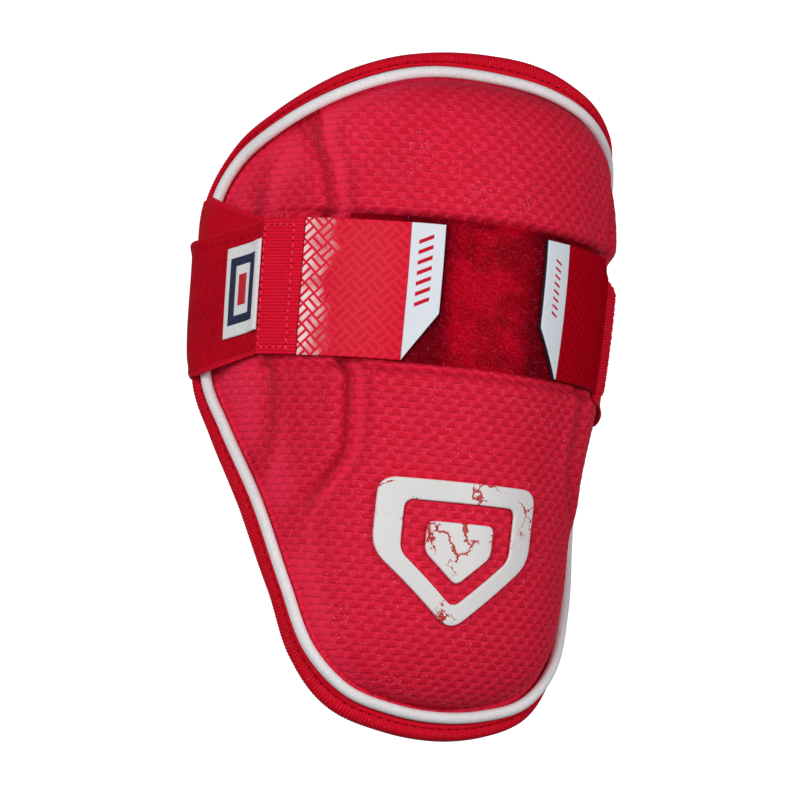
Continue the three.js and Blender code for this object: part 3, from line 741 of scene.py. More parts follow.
def stitch_tree():
    """Sews thread along lines: a stitch at each pitch, each a little askew."""
    tree, given = shape_tree("sewn_line", "Pitch", "Length", "Thread", "Askew", "Seed")
    line = put(tree, "GeometryNodeMeshToCurve", {0: given["Geometry"]})[0]
    even = put(tree, "GeometryNodeResampleCurve", {"Curve": line, "Length": given["Pitch"]}, mode="LENGTH")[0]
    tangent = put(tree, "GeometryNodeInputTangent")[0]
    turned = put(tree, "FunctionNodeAlignRotationToVector", {"Vector": tangent}, axis="X")[0]
    turned = askew(turned, given["Askew"], given["Seed"])
    bead = put(tree, "GeometryNodeMeshUVSphere", {"Segments": 7, "Rings": 5, "Radius": 0.5})[0]
    sewn = realized(set_on(even, bead, turned, given["Length"], given["Thread"], given["Thread"]))
    return in_finish(put(tree, "GeometryNodeSetShadeSmooth", {0: sewn})[0], given)


def thread_finish(name, low, high):
    finish = new_finish(name, 0.6, 0.06)
    twist = noise(place_of(finish), 2500.0, 1.0)
    return surface(finish, mix(step_up(twist, 0.35, 0.65), low, high), twist, 0.0001, 0.5)


sewn_line = stitch_tree()


def stitches(name, slot, lines, finish, **sewing):
    """Thread sewn along lines of points (mm), each open or ending where it starts."""
    points = np.concatenate(lines)
    ends = np.cumsum([len(line) for line in lines]) - 1
    edges = [(k, k + 1) for k in range(len(points) - 1) if k not in ends]
    mesh = bpy.data.meshes.new(name)
    mesh.from_pydata(((points + ORIGIN) * MM).tolist(), edges, [])
    for size in ("Pitch", "Length", "Thread"):
        sewing[size] *= MM
    return dress(with_nodes(placed(name, mesh), sewn_line, **sewing, Finish=finish), slot)


seam_u = np.linspace(0, 2 * LAST, SEAM["points"])
seam_out = SEAM["at"] + tape_reach(seam_u, SEAM["at"])
stitches(
    "binding_seam", "binding_tape", [rim_point(seam_u, seam_out, -1.42)],
    thread_finish("edge_thread", (120, 0, 18), (176, 8, 32)),
    Pitch=SEAM["pitch"], Length=2.2, Thread=0.42, Askew=0.25, Seed=3,
)
# painted shade: dark needle holes between the binding's stitches
stitches(
    "binding_needle_hole_shade", "binding_tape", [rim_point(seam_u + 0.08, seam_out, -1.25)],
    thread_finish("needle_hole_shade", (84, 0, 14), (124, 2, 22)),
    Pitch=SEAM["pitch"], Length=1.7, Thread=0.62, Askew=0.5, Seed=9,
)


# Loop panel. Velour laid in the channel under the tabs: a knitted ground with a short brushed pile.
# The pile stands up between the tabs and is left off where they cover it.
BAND = dict(low=7.3, high=50.9, slack_low=0.0, slack_high=57.2, thick=1.0)
PANEL = dict(half=50.0, low=7.3, high=53.0, lift=0.4, thick=1.2, ground=0.7, bare_left=-33.0, bare_right=27.0)
TIPS = dict(left=-20.0, right=14.8)
PILE = dict(per_mm2=14.0, long=0.95, thin=0.19, lean=0.9, seed=11)
GAP = 0.3
# The band's way past the rim: beside the cord, round the tape's outer edge, and in under it.
WAY = dict(
    cord_out=0.4, cord_off=2.5, tape_out=6.6, tape_off=-1.9,
    edge_out=0.3, edge_up=1.5, turn_in=0.4, turn_up=0.5, under=4.0,
)
FLOOR_LEVEL = BAND["thick"] + GAP
TRACK_FRACTIONS = np.array([0, 0.12, 0.24, 0.36, 0.47, 0.57, 0.66, 0.74, 0.81, 0.87, 0.92])
TRACK_Y = np.arange(-3, 62, 0.5)
TRACK_STEPS = 900


def station_at(y):
    return np.interp(y, fine_foot[:, 1], fine_u)


def track_at(y):
    """The band's way at y: over the face, past piping and binding, under to the floor. x, z and length."""
    u = station_at(y)
    x = TRACK_FRACTIONS * foot(u)[0]
    over = np.stack([x, face_height(x, np.full_like(x, y))], -1)
    cord, tape = (rim_point(u, WAY[part + "_out"], WAY[part + "_off"]) for part in ("cord", "tape"))
    side = [
        (cord[0], cord[2]), (tape[0] + WAY["edge_out"], tape[2] + WAY["edge_up"]),
        (tape[0] - WAY["turn_in"], FLOOR_LEVEL + WAY["turn_up"]), (tape[0] - WAY["under"], FLOOR_LEVEL),
    ]
    middle = rim_line(u)[0][0]
    side += [(share * middle, FLOOR_LEVEL) for share in (0.75, 0.5, 0.25, 0)]
    points = np.concatenate([over, side])
    line = spline(points)(np.linspace(0, len(points) - 1, 4001))[0]
    run = run_along(line)
    even = np.linspace(0, run[-1], TRACK_STEPS + 1)
    return np.stack([np.interp(even, run, line[:, k]) for k in (0, 1)], -1), run[-1]


tracks = np.stack([track_at(y)[0] for y in TRACK_Y])
track_normals = unit(np.gradient(tracks, axis=1)[..., ::-1] * (-1, 1))
mid_y = (BAND["low"] + BAND["high"]) / 2
mid_track, HALF_LOOP = track_at(mid_y)


def band_point(a, y, lift):
    """Place on the band: a along it from the crown (minus is left), y across, lift off its track."""
    a, y, lift = np.broadcast_arrays(*(np.asarray(v, float) for v in (a, y, lift)))
    across = np.clip((y - TRACK_Y[0]) / (TRACK_Y[1] - TRACK_Y[0]), 0, len(TRACK_Y) - 1.001)
    along = np.clip(np.abs(a) / HALF_LOOP * TRACK_STEPS, 0, TRACK_STEPS - 0.001)
    i, j = across.astype(int), along.astype(int)
    f, g = (across - i)[..., None], (along - j)[..., None]

    def read(table):
        low, high = (table[k, j] * (1 - g) + table[k, j + 1] * g for k in (i, i + 1))
        return low * (1 - f) + high * f

    section = read(tracks) + read(track_normals) * lift[..., None]
    return np.stack([section[..., 0] * np.where(a < 0, -1, 1), y, section[..., 1]], -1)


def edged(long, step, bead):
    """Even places over a length, with closer ones where an edge of that bead rounds over."""
    close = bead * np.array([0, 0.05, 0.2, 0.45, 0.75, 1.0])
    count = max(2, int(round((long - 2 * bead) / step)))
    return np.concatenate([close[:-1], np.linspace(bead, long - bead, count + 1), long - close[-2::-1]])


def rounded(near):
    """Share of the full thickness at a number of beads from an edge."""
    return np.sqrt(np.maximum(0, 1 - (1 - np.minimum(near, 1)) ** 2))


def band_piece(name, runs, across, edge, lift, thick, bead, extra=None):
    """Sheet on the band with rounded edges. runs and across are distances (mm) over its length and width;
    edge turns their shares into places on the band, and lift gives the height of its under face."""
    a, y = np.broadcast_arrays(*edge((runs / runs[-1])[:, None], (across / across[-1])[None, :]))
    full = [rounded(np.minimum(v, v[-1] - v) / bead) for v in (runs, across)]
    swell = thick / 2 * full[0][:, None] * full[1][None, :]
    middle = lift(a, y) + thick / 2
    upper, lower = band_point(a, y, middle + swell), band_point(a, y, middle - swell)
    lay = np.stack(np.broadcast_arrays(runs[:, None], across[None, :], 0.0), -1).astype(float)
    if extra is not None:
        lay[..., 2] = extra(a, y)
    under = lay.copy()
    under[..., 2] = -1
    points = np.concatenate([upper, lower[:, -2:0:-1]], axis=1)
    return cloth_mesh(name, points, np.concatenate([lay, under[:, -2::-1]], axis=1), tube=True)


def straight(from_a, to_a, low, high):
    return lambda run, across: (from_a + (to_a - from_a) * run, low + (high - low) * across)


def all_over(a, y):
    return np.ones(np.shape(a))


def pile_tree():
    """Short fibres all over the shown part of a ground cloth, leaning every way, each with its own tone."""
    tree, given = shape_tree("brushed_pile", "Density", "Long", "Thin", "Lean", "Seed")
    ground, seed = given["Geometry"], given["Seed"]
    shown = calc("GREATER_THAN", shape_lay(tree)[2], 0.5)
    links = {"Mesh": ground, "Selection": shown, "Density": given["Density"], "Seed": seed}
    spread = put(tree, "GeometryNodeDistributePointsOnFaces", links)
    turned = askew(spread["Rotation"], given["Lean"], seed)
    links = {"Vertices": 3, "Radius Top": 0.0, "Radius Bottom": 0.5, "Depth": 1.0}
    fibre = put(tree, "GeometryNodeMeshCone", links, fill_type="NONE")[0]
    stood = set_on(spread["Points"], fibre, turned, given["Thin"], given["Thin"], given["Long"])
    tone = put(tree, "FunctionNodeRandomValue", {2: 0.0, 3: 1.0, 8: 5}, data_type="FLOAT")[1]
    links = {"Geometry": stood, "Name": "tone", "Value": tone}
    toned = put(tree, "GeometryNodeStoreNamedAttribute", links, data_type="FLOAT", domain="INSTANCE")[0]
    pile = realized(toned)
    joined = put(tree, "GeometryNodeJoinGeometry")
    for part in (pile, ground):
        tree.links.new(part.socket, joined.node.inputs[0])
    return in_finish(joined[0], given)


def velour_finish():
    """Brushed pile with bright fibres as painted glints, and painted shade beside the tips of the tabs, where it is
    pressed down.
    """
    finish = new_finish("red_velour", 0.5, 0.06)
    tone = put(finish.node_tree, "ShaderNodeAttribute", attribute_name="tone")["Fac"]
    brushed = noise(place_of(finish), 110.0, 3.0)
    tint = mix(step_up(brushed, 0.35, 0.68), (175, 0, 21), (217, 2, 43))
    tint = mix(step_up(tone, 0.5, 1.0) * 0.45, tint, (222, 16, 66))
    along = lay_of(finish)[1]
    left, right = (PANEL["half"] + TIPS[side] for side in ("left", "right"))
    # painted shade: darker beside the tips of the tabs
    out_of_tab_shade = step_up(along, left - 1, left + 6) * step_up(along, right + 1, right - 9)
    tint = mix((1.0 - out_of_tab_shade) * 0.7, tint, (96, 0, 12))
    # painted glints on the brightest fibres
    return surface(finish, mix(calc("GREATER_THAN", tone, 0.965) * 0.7, tint, (252, 92, 156)))


loop_panel = band_piece(
    "velour_panel", edged(2 * PANEL["half"], 1.2, 0.6), edged(PANEL["high"] - PANEL["low"], 0.9, 0.6),
    straight(-PANEL["half"], PANEL["half"], PANEL["low"], PANEL["high"]),
    lambda a, y: PANEL["lift"] * all_over(a, y), PANEL["ground"], 0.6,
    lambda a, y: ((a > PANEL["bare_left"]) & (a < PANEL["bare_right"])).astype(float),
)
with_nodes(
    loop_panel, pile_tree(), Density=PILE["per_mm2"] / MM**2, Long=PILE["long"] * MM, Thin=PILE["thin"] * MM,
    Lean=PILE["lean"], Seed=PILE["seed"], Finish=velour_finish(),
)
dress(loop_panel, "loop_pile", "loop_panel")


# Elastic strap and its pleated ply. Satin woven elastic from sleeve to sleeve, round the sides and across
# under the arm. On the left wing its upper edge is folded, and the ply under the fold fans out to the rim.
SLEEVE = dict(
    length=15.5, thick=1.7, root=63.5, lift=1.7, drop=5.0, low_drop=3.0, sink=1.6,
    roll=2.4, roll_at=5.0, roll_wide=4.0, roll_low=4.0, roll_high=1.0, roll_ease=6.0,
)
PLEAT = dict(
    fold_rim=44.2, fold_sleeve=50.3, under=9.0, beside=0.1, thick=0.8, flare=1.5, tuck=1.4, tuck_from=4.0, tuck_run=8.0,
    puff=0.7, puff_in=1.6, puff_wide=2.0, roll=0.5, roll_in=1.0, roll_wide=1.6,
)
# Seams on the left wing: one along inside the fold, and a short one lower down where the strap crosses the cord.
STRAP_SEAM = dict(start=2.0, end=1.5, fold_in=3.9, short_start=6.5, short_end=2.5, short_y=(18.5, 21.0), lift_y=20.0)
CLOSING = dict(slip=(1.0, 3.5), close=(4.5, 4.5), open=(9.0, 6.5), ply=13.0)
TAB_LIFT = PANEL["lift"] + PANEL["thick"] + GAP
UNDER_LIFT = 2 * GAP + PLEAT["thick"]
STRAP_START = SLEEVE["root"] + SLEEVE["length"] + GAP
CORD_RUN = HALF_LOOP * np.argmax(mid_track[:, 1] < rim_line(station_at(mid_y))[0][2]) / TRACK_STEPS
PLY_END = CORD_RUN + CLOSING["ply"]
width = BAND["high"] - BAND["low"]


def on_wing(a):
    return np.clip((np.abs(a) - STRAP_START) / (CORD_RUN - STRAP_START), 0, 1)


def past(a, change):
    """Share of a change after the cord that is done at a: the ply slips out, the band closes, the fold opens."""
    start, run = CLOSING[change]
    return smooth((np.abs(a) - CORD_RUN - start) / run)


def slack_edge(a, side):
    return BAND[side] + (BAND["slack_" + side] - BAND[side]) * on_wing(a)


def fold_edge(a):
    return PLEAT["fold_sleeve"] + (PLEAT["fold_rim"] - PLEAT["fold_sleeve"]) * on_wing(a)


def strap_lift(a, y):
    """Height of the strap's under face: down from the sleeve to the rim, puffed along the fold and low edge."""
    rim = UNDER_LIFT + (GAP - UNDER_LIFT) * past(a, "close")
    plain = TAB_LIFT + (rim - TAB_LIFT) * on_wing(a)
    away = on_wing(a) * (1 - past(a, "close"))
    puff = PLEAT["puff"] * hump(y, fold_edge(a) - PLEAT["puff_in"], PLEAT["puff_wide"])
    roll = PLEAT["roll"] * hump(y, slack_edge(a, "low") + PLEAT["roll_in"], PLEAT["roll_wide"])
    return plain + away * (np.where(np.asarray(a) < 0, puff, 0) + roll)


def opened(a, kept):
    """Upper edge of the strap: where it is kept, and from the cord on let out to its full width."""
    return kept + (slack_edge(a, "high") - kept) * past(a, "open")


def strap_edge(run, across):
    """The whole strap: out over the left wing, across under the arm, and up the right wing."""
    reach = HALF_LOOP - STRAP_START
    a = np.where(run < 0.5, -(STRAP_START + 2 * reach * run), STRAP_START + 2 * reach * (1 - run))
    low = slack_edge(a, "low")
    high = opened(a, np.where(a < 0, fold_edge(a), BAND["high"] - SLEEVE["drop"]))
    return a, low + (high - low) * across


def ply_edge(run, across):
    """The ply: from the sleeve under the fold, out beside it past the rim, up to where the fold has opened."""
    a = -(STRAP_START + (PLY_END - STRAP_START) * run)
    beside = PLEAT["beside"]
    low = opened(a, fold_edge(a)) + beside - (PLEAT["under"] + beside) * (1 - past(a, "slip"))
    high = slack_edge(a, "high") + PLEAT["flare"] * on_wing(a) ** 2 * (1 - past(a, "open"))
    return a, low + (high - low) * across


def ply_lift(a, y):
    """Height of the ply's under face: it lies close on the piping and the binding."""
    return GAP - PLEAT["tuck"] * smooth((np.abs(a) - CORD_RUN + PLEAT["tuck_from"]) / PLEAT["tuck_run"])


def elastic_finish(name, low, high):
    """Woven elastic with a lighter selvedge, partly a painted highlight and on the folded edge only a painted
    highlight; the lay's third part is the distance from it.
    """
    finish = new_finish(name, 0.55, 0.05)
    lay, along, across, edge = lay_of(finish)
    weave = wave(across, 0.62) * wave(along, 0.9)
    tint = mix(step_up(weave, -0.9, 0.9), low, high)
    tint = drifting(drifting(tint, lay, 12.0, 0.1), lay, 1.1, 0.2)
    # lighter selvedge along the edges, partly a painted highlight, and on the fold only a painted highlight
    tint = mix((1.0 - step_up(edge, 0.5, 1.9)) * 0.7, tint, (214, 20, 50))
    shine = specks(lay, 0.33, 0.006)
    tint = mix(shine["Grain"] * 0.5, tint, (212, 8, 40))
    tint = mix(shine["Mask"] * 0.25, tint, (240, 100, 120))
    return surface(finish, tint, weave * 0.5 + shine["Grain"] * 0.5, 0.00007, 0.7)


def under_top(a, y):
    return y.max(1, keepdims=True) - y


def selvedge_and_highlight_distance(a, y):
    """Distance from the woven edge, for the lighter selvedge; a folded edge shows less of it, and there the lighter
    line is a painted highlight.
    """
    folded = np.where((a < 0) & (past(a, "open") < 0.5), 0.4, 0)
    return np.minimum(y - y.min(1, keepdims=True), under_top(a, y) + folded)


strap = band_piece(
    "elastic_strap", edged(2 * (HALF_LOOP - STRAP_START), 0.9, 0.5), edged(width, 0.9, 1.1),
    strap_edge, strap_lift, BAND["thick"], 1.1, selvedge_and_highlight_distance,
)
dress(strap, "elastic", "strap", finish=elastic_finish("satin_strap", (144, 0, 13), (184, 0, 24)))
pleat = band_piece(
    "strap_pleat_ply", edged(PLY_END - STRAP_START, 0.9, 0.4), edged(22, 0.9, 0.8),
    ply_edge, ply_lift, PLEAT["thick"], 0.8, under_top,
)
# The ply is the same elastic as the strap, painted lighter as a lit copy.
dress(pleat, "elastic", "strap_pleat", finish=elastic_finish("lit_satin_strap_pleat", (166, 0, 20), (204, 4, 34)))

fold_run = np.linspace(STRAP_START + STRAP_SEAM["start"], CORD_RUN - STRAP_SEAM["end"], 40)
short_run = np.linspace(CORD_RUN - STRAP_SEAM["short_start"], CORD_RUN + STRAP_SEAM["short_end"], 20)
fold_seam, short_seam = fold_edge(fold_run) - STRAP_SEAM["fold_in"], np.linspace(*STRAP_SEAM["short_y"], 20)
on_strap = BAND["thick"] + 0.02
stitches(
    "strap_seams", "elastic",
    [
        band_point(-fold_run, fold_seam, strap_lift(-fold_run, fold_seam) + on_strap),
        band_point(-short_run, short_seam, strap_lift(-short_run, STRAP_SEAM["lift_y"]) + on_strap),
    ],
    thread_finish("strap_thread", (112, 0, 12), (168, 2, 24)),
    Pitch=2.6, Length=1.7, Thread=0.34, Askew=0.2, Seed=7,
)


# Sleeves. Cross-ribbed grosgrain folded over each end of the elastic and box-stitched to the tab.
# The left one lies flat; the right one is set lower and rolls up beside its tab.
SLEEVE_RIB = dict(pitch=1.03, height=0.3, step=0.13)
BOX = dict(near=3.9, far=14.2, inset=2.2, points=161)
sleeve_finish = tape_finish("red_grosgrain", (180, 5, 32), (234, 18, 52), 1, SLEEVE_RIB["pitch"])
sleeve_thread = thread_finish("sleeve_thread", (222, 30, 60), (250, 62, 94))
# painted shade: dark needle holes between the box stitches
needle_hole_shade = thread_finish("sleeve_needle_hole_shade", (112, 0, 16), (150, 2, 24))


def sleeve_lift(a, y):
    """Height of a sleeve's under face: flat on the left wing, sunk and rolled up beside the tab on the right."""
    from_low = y - BAND["low"] + SLEEVE["roll_low"]
    from_high = BAND["high"] - SLEEVE["drop"] + SLEEVE["roll_high"] - y
    ends = smooth(from_low / SLEEVE["roll_ease"]) * smooth(from_high / SLEEVE["roll_ease"])
    rolled = SLEEVE["roll"] * hump(a, SLEEVE["root"] + SLEEVE["roll_at"], SLEEVE["roll_wide"]) * ends
    return SLEEVE["lift"] + np.where(np.asarray(a) > 0, rolled - SLEEVE["sink"], 0)


for side, label, low_drop, drop in ((-1, "left", 0, 0), (1, "right", SLEEVE["low_drop"], SLEEVE["drop"])):
    low, high = BAND["low"] - low_drop, BAND["high"] - drop
    sleeve = band_piece(
        "ribbed_sleeve_" + label, edged(SLEEVE["length"] - GAP, 0.8, 0.5), edged(width, SLEEVE_RIB["step"], 0.5),
        straight(side * (SLEEVE["root"] + GAP), side * (SLEEVE["root"] + SLEEVE["length"]), low, high),
        sleeve_lift, SLEEVE["thick"] - 0.12, 0.6, all_over,
    )
    sizes = dict(Pitch=SLEEVE_RIB["pitch"], Height=SLEEVE_RIB["height"] * MM, Across=1.0)
    with_nodes(sleeve, rib_tape, **sizes, Finish=sleeve_finish)
    dress(sleeve, "grosgrain", "sleeve_" + label)
    box_a = SLEEVE["root"] + np.array([BOX[k] for k in ("near", "far", "far", "near", "near")])
    box_y = np.array([low, low, high, high, low]) + BOX["inset"] * np.array([1, 1, -1, -1, 1])
    for name, start, sunk, long, thick, finish in (
        ("seam", 0, 0.02, 1.8, 0.7, sleeve_thread), ("marks", 0.115, 0.12, 0.6, 0.45, needle_hole_shade),
    ):
        corner = (np.linspace(0, 4, BOX["points"]) + start) % 4
        a, y = side * np.interp(corner, range(5), box_a), np.interp(corner, range(5), box_y)
        box_line = band_point(a, y, sleeve_lift(a, y) + SLEEVE["thick"] - sunk)
        stitches(
            "sleeve_" + name + "_" + label, "grosgrain", [box_line], finish,
            Pitch=2.3, Length=long, Thread=thick, Askew=0.3, Seed=5,
        )


# Hook tabs. A printed gloss film on a dark hook tape, with a white chamfered tip to pull it by.
# The print is a basket weave of short bars, white by the left sleeve and tone on tone over the rest.
TAB = dict(
    chamfer_top=22.8, film=0.62, hook=0.98, cell=4.6,
    tuck_from=0.78, tuck_run=0.22, sink_from=2.0, sink_run=10.0,
)
TABS = {
    "left": dict(
        root=-63.5, chamfer=10.3, tuck=0.0, sink=0.0,
        base=(226, 26, 56), mark=(208, 12, 40), white_from=37.0, shine=0.06,
    ),
    # The right tab's base and mark are painted shade: the same print as the left, darkened where it turns away from the
    # light.
    "right": dict(
        root=63.5, chamfer=9.8, tuck=4.5, sink=SLEEVE["sink"],
        base=(162, 2, 18), mark=(176, 6, 28), white_from=90.0, shine=0.0,
    ),
}
# Slanted dashes on the white tips: start and length from the tip, pitch and thickness, first and last.
DASHES = {"left": (3.4, 4.4, 3.3, 1.3, 6, 13), "right": (3.6, 2.6, 2.4, 0.8, 9, 17)}


def weave_group():
    """Basket weave of short bars, turned 45 degrees: two side by side in each cell, every other cell crossed."""
    inputs = {"Place": "Vector", "Cell": "Float"}
    tree, given = new_group("bar_weave", "ShaderNodeTree", inputs, {"Mask": "Float"})
    links = {"Vector": given["Place"], "Angle": math.pi / 4}
    turned = put(tree, "ShaderNodeVectorRotate", links, rotation_type="Z_AXIS")[0]
    x, y, _ = put(tree, "ShaderNodeSeparateXYZ", {0: turned})
    x, y = x / given["Cell"], y / given["Cell"]
    odd = calc("FLOORED_MODULO", calc("FLOOR", x) + calc("FLOOR", y), 2.0)
    long, wide = (put(tree, "ShaderNodeMix", {0: odd, 2: a, 3: b})[0] for a, b in ((x, y), (y, x)))
    off_long, off_wide = (calc("ABSOLUTE", calc("FRACT", run) - 0.5) for run in (long, wide * 2.0))
    bar, short = 1.0 - step_up(off_wide, 0.27, 0.33), 1.0 - step_up(off_long, 0.41, 0.44)
    put(tree, "NodeGroupOutput", {0: bar * short})
    return tree


bar_weave = weave_group()


def print_finish(label, tab):
    """lay on a tab: distance from the straight tip, distance from its low edge, 1 on the face."""
    finish = new_finish("tab_print_" + label, 0.4, tab["shine"])
    lay, from_tip, up, _ = lay_of(finish)
    bars = put(lay.tree, "ShaderNodeGroup", {"Place": lay, "Cell": TAB["cell"]}, node_tree=bar_weave)[0]
    tint = mix(bars, tab["base"], tab["mark"])
    reach = from_tip + (noise(lay, 0.16, 4.0) - 0.5) * 16.0
    white = step_up(reach, tab["white_from"] - 4, tab["white_from"] + 7) * bars
    tint = mix(white, tint, (246, 222, 224))
    tint = mix(calc("LESS_THAN", from_tip, tab["chamfer"]), tint, (222, 227, 235))
    start, long, pitch, thick, first, last = DASHES[label]
    leaned = (up + from_tip * 0.5) / pitch
    dash = calc("LESS_THAN", calc("ABSOLUTE", calc("FRACT", leaned) - 0.5), thick / pitch / 2)
    for place, low, high in ((from_tip, start, start + long), (leaned, first, last)):
        dash = dash * calc("COMPARE", place, (low + high) / 2, (high - low) / 2)
    tint = mix(dash, tint, (196, 22, 46))
    tint = mix(calc("COMPARE", from_tip, tab["chamfer"], 0.14) * 0.5, tint, (120, 30, 44))
    rub = noise(lay, 1.8, 4.0)
    return surface(finish, drifting(tint, lay, 10.0, 0.015), rub, 0.00003, 0.4, ranged(rub, 0, 1, 0.34, 0.46))


def hook_finish():
    finish = new_finish("dark_hook_tape", 0.55, 0.35)
    _, along, across, _ = lay_of(finish)
    hooks = step_up(wave(along, 0.8) * wave(across, 0.8), 0.0, 0.7)
    return surface(finish, mix(hooks, (22, 30, 42), (44, 56, 70)), hooks, 0.0003, 0.8)


hook_tape = hook_finish()
for label, tab in TABS.items():
    from_tip, to_root = TIPS[label], tab["root"]

    def chamfer(up):
        top = TAB["chamfer_top"] - BAND["low"]
        return tab["chamfer"] * np.clip((top - up) / top, 0, 1)

    def tab_edge(run, across):
        up = (width - tab["tuck"] * smooth((run - TAB["tuck_from"]) / TAB["tuck_run"])) * across
        tip = from_tip + math.copysign(1, to_root) * chamfer(up)
        return tip + (to_root - tip) * run, BAND["low"] + up

    def tab_lift(a, y):
        return TAB_LIFT - tab["sink"] * smooth((np.abs(a) - PANEL["half"] + TAB["sink_from"]) / TAB["sink_run"])

    length = abs(to_root - from_tip)
    places = [edged(length, 1.0, 0.3), edged(width, 0.75, 0.3)]
    hook = band_piece("hook_tape_" + label, *places, tab_edge, tab_lift, TAB["hook"], 0.25)
    film = band_piece(
        "printed_tab_" + label, *places, tab_edge, lambda a, y: tab_lift(a, y) + TAB["hook"],
        TAB["film"], 0.3, all_over,
    )
    film_lay = film.data.attributes["lay"].data
    spots = np.zeros(len(film_lay) * 3, np.float32)
    film_lay.foreach_get("vector", spots)
    spots = spots.reshape(-1, 3)
    low_cut = chamfer(spots[:, 1])
    spots[:, 0] = low_cut + spots[:, 0] * (length - low_cut) / length
    film_lay.foreach_set("vector", spots.ravel())
    for piece, finish in ((hook, hook_tape), (film, print_finish(label, tab))):
        dress(piece, "tab_print_" + label, "tab_" + label, finish=finish)


# Tag. Light rubber patch glued to the elastic beside the left sleeve, leaning with the strap's fold.
# A navy frame of four bars and a red block stand a little proud of it.
TAG = dict(start=-1.3, length=13.4, low=15.0, high=44.2, lean=0.26, thick=1.2, step=0.65, ease=3.0)
TAG_MARK = dict(thick=0.35, sunk=0.15)
tag_from = STRAP_START + TAG["start"]


def rubber_finish(name, low, high):
    finish = new_finish(name, 0.55, 0.4)
    grain = noise(place_of(finish), 2600.0, 2.0)
    return surface(finish, mix(step_up(grain, 0.3, 0.7), low, high), grain, 0.0001, 0.5)


def tag_edge(low, high, start, end):
    def read(run, across):
        a = -tag_from - start - (end - start) * run
        return a, low + (high - low) * across + (a + tag_from) * TAG["lean"]

    return read


def tag_lift(a, y):
    """Height of the tag's under face: on the strap, stepped up over the end of the sleeve."""
    over_sleeve = TAG["step"] * (1 - smooth((np.abs(a) - STRAP_START) / TAG["ease"]))
    return strap_lift(a, y) + BAND["thick"] + GAP + over_sleeve


tag = band_piece(
    "rubber_tag", edged(TAG["length"], 0.8, 0.45), edged(TAG["high"] - TAG["low"], 0.8, 0.45),
    tag_edge(TAG["low"], TAG["high"], 0.0, TAG["length"]), tag_lift, TAG["thick"], 0.45,
)
dress(tag, "tag_rubber", "tag", finish=rubber_finish("grey_rubber", (206, 207, 208), (232, 232, 232)))

tag_navy = rubber_finish("navy_rubber", (14, 24, 56), (22, 36, 76))
tag_red = rubber_finish("red_rubber", (176, 6, 26), (200, 14, 38))
# Marks on the tag: low and high edge, start and end along the strap, rubber.
TAG_MARKS = {
    "frame_top": (37.6, 40.4, 1.9, 11.6, tag_navy), "frame_low": (18.8, 21.6, 1.9, 11.6, tag_navy),
    "frame_in": (21.5, 37.7, 1.9, 4.1, tag_navy), "frame_out": (21.5, 37.7, 9.4, 11.6, tag_navy),
    "block": (24.6, 34.6, 5.3, 8.2, tag_red),
}
for label, (low, high, start, end, finish) in TAG_MARKS.items():
    mark = band_piece(
        "tag_mark_" + label, edged(end - start, 0.6, 0.25), edged(high - low, 0.7, 0.25),
        tag_edge(low, high, start, end), lambda a, y: tag_lift(a, y) + TAG["thick"] - TAG_MARK["sunk"],
        TAG_MARK["thick"], 0.25,
    )
    dress(mark, "tag_rubber", finish=finish)


# Badge. White rubber badge bonded to the narrow end: a five-sided frame round a five-sided core,
# printed with fine red cracks.
BADGE = dict(x=-6.0, y=-51.0, half=26.0, thick=1.2, lift=0.4, frame=0.7, core=0.42, bead=0.6)
PLATE = np.array([(-1, 0.85), (1, 0.85), (1, -0.05), (0, -0.95), (-1, -0.05)])
badge_at = np.array([BADGE["x"], BADGE["y"]])


def plate_outline(scale, corner, side_steps=26, arc_steps=8):
    """Five-sided outline with rounded corners that start a corner's length (mm) off, about the badge's middle."""
    cut = corner / (scale * BADGE["half"])
    line = []
    for k in range(5):
        before, here, after = (PLATE[(k + n) % 5] for n in (-1, 0, 1))
        ways = [unit(other - here) for other in (before, after)]
        start, end = (here + way * cut for way in ways)
        stop = after - ways[1] * cut
        t = np.linspace(0, 1, arc_steps)[:, None]
        line.append(start * (1 - t) ** 2 + 2 * here * t * (1 - t) + end * t * t)
        line.append(end + (stop - end) * np.linspace(0, 1, side_steps + 2)[1:-1, None])
    return np.concatenate(line) * scale * BADGE["half"] + badge_at


def over_face(plan, lift):
    """Places lifted off the smooth face over places in plan."""
    x, y = plan[..., 0], plan[..., 1]
    d = 0.5
    lean_x = (face_height(x + d, y) - face_height(x - d, y)) / (2 * d)
    lean_y = (face_height(x, y + d) - face_height(x, y - d)) / (2 * d)
    normal = unit(np.stack([-lean_x, -lean_y, np.ones_like(x)], -1))
    return np.stack([x, y, face_height(x, y)], -1) + normal * lift[..., None]


def badge_plate(name, outer, inner=None):
    """Plate with rounded edges between two outlines, each a scale and a corner; no inner one closes the middle."""
    bead = BADGE["bead"]
    outline = plate_outline(*outer)
    inside = plate_outline(*inner)[:, None] if inner else badge_at
    wide = BADGE["half"] * (outer[0] - (inner[0] if inner else 0))
    places = edged(wide if inner else 2 * wide, 1.0, bead)
    places = places if inner else np.r_[places[places < wide - 1e-6], wide]
    swell = BADGE["thick"] / 2 * rounded(np.minimum(places, wide - places if inner else bead) / bead)
    share = (places / wide)[None, :, None]
    plan = outline[:, None] * (1 - share) + inside * share
    lifts = [BADGE["lift"] + BADGE["thick"] / 2 + way * swell for way in (1, -1)]
    upper, lower = (over_face(plan, np.broadcast_to(lift, plan.shape[:2])) for lift in lifts)
    loop = np.concatenate([upper, lower[:, -2:0:-1] if inner else lower[:, :0:-1]], axis=1)
    lay = np.concatenate([loop, loop[:, :1]], axis=1)
    return cloth_mesh(name, loop, np.concatenate([lay, lay[:1]]), ring=True, tube=True)


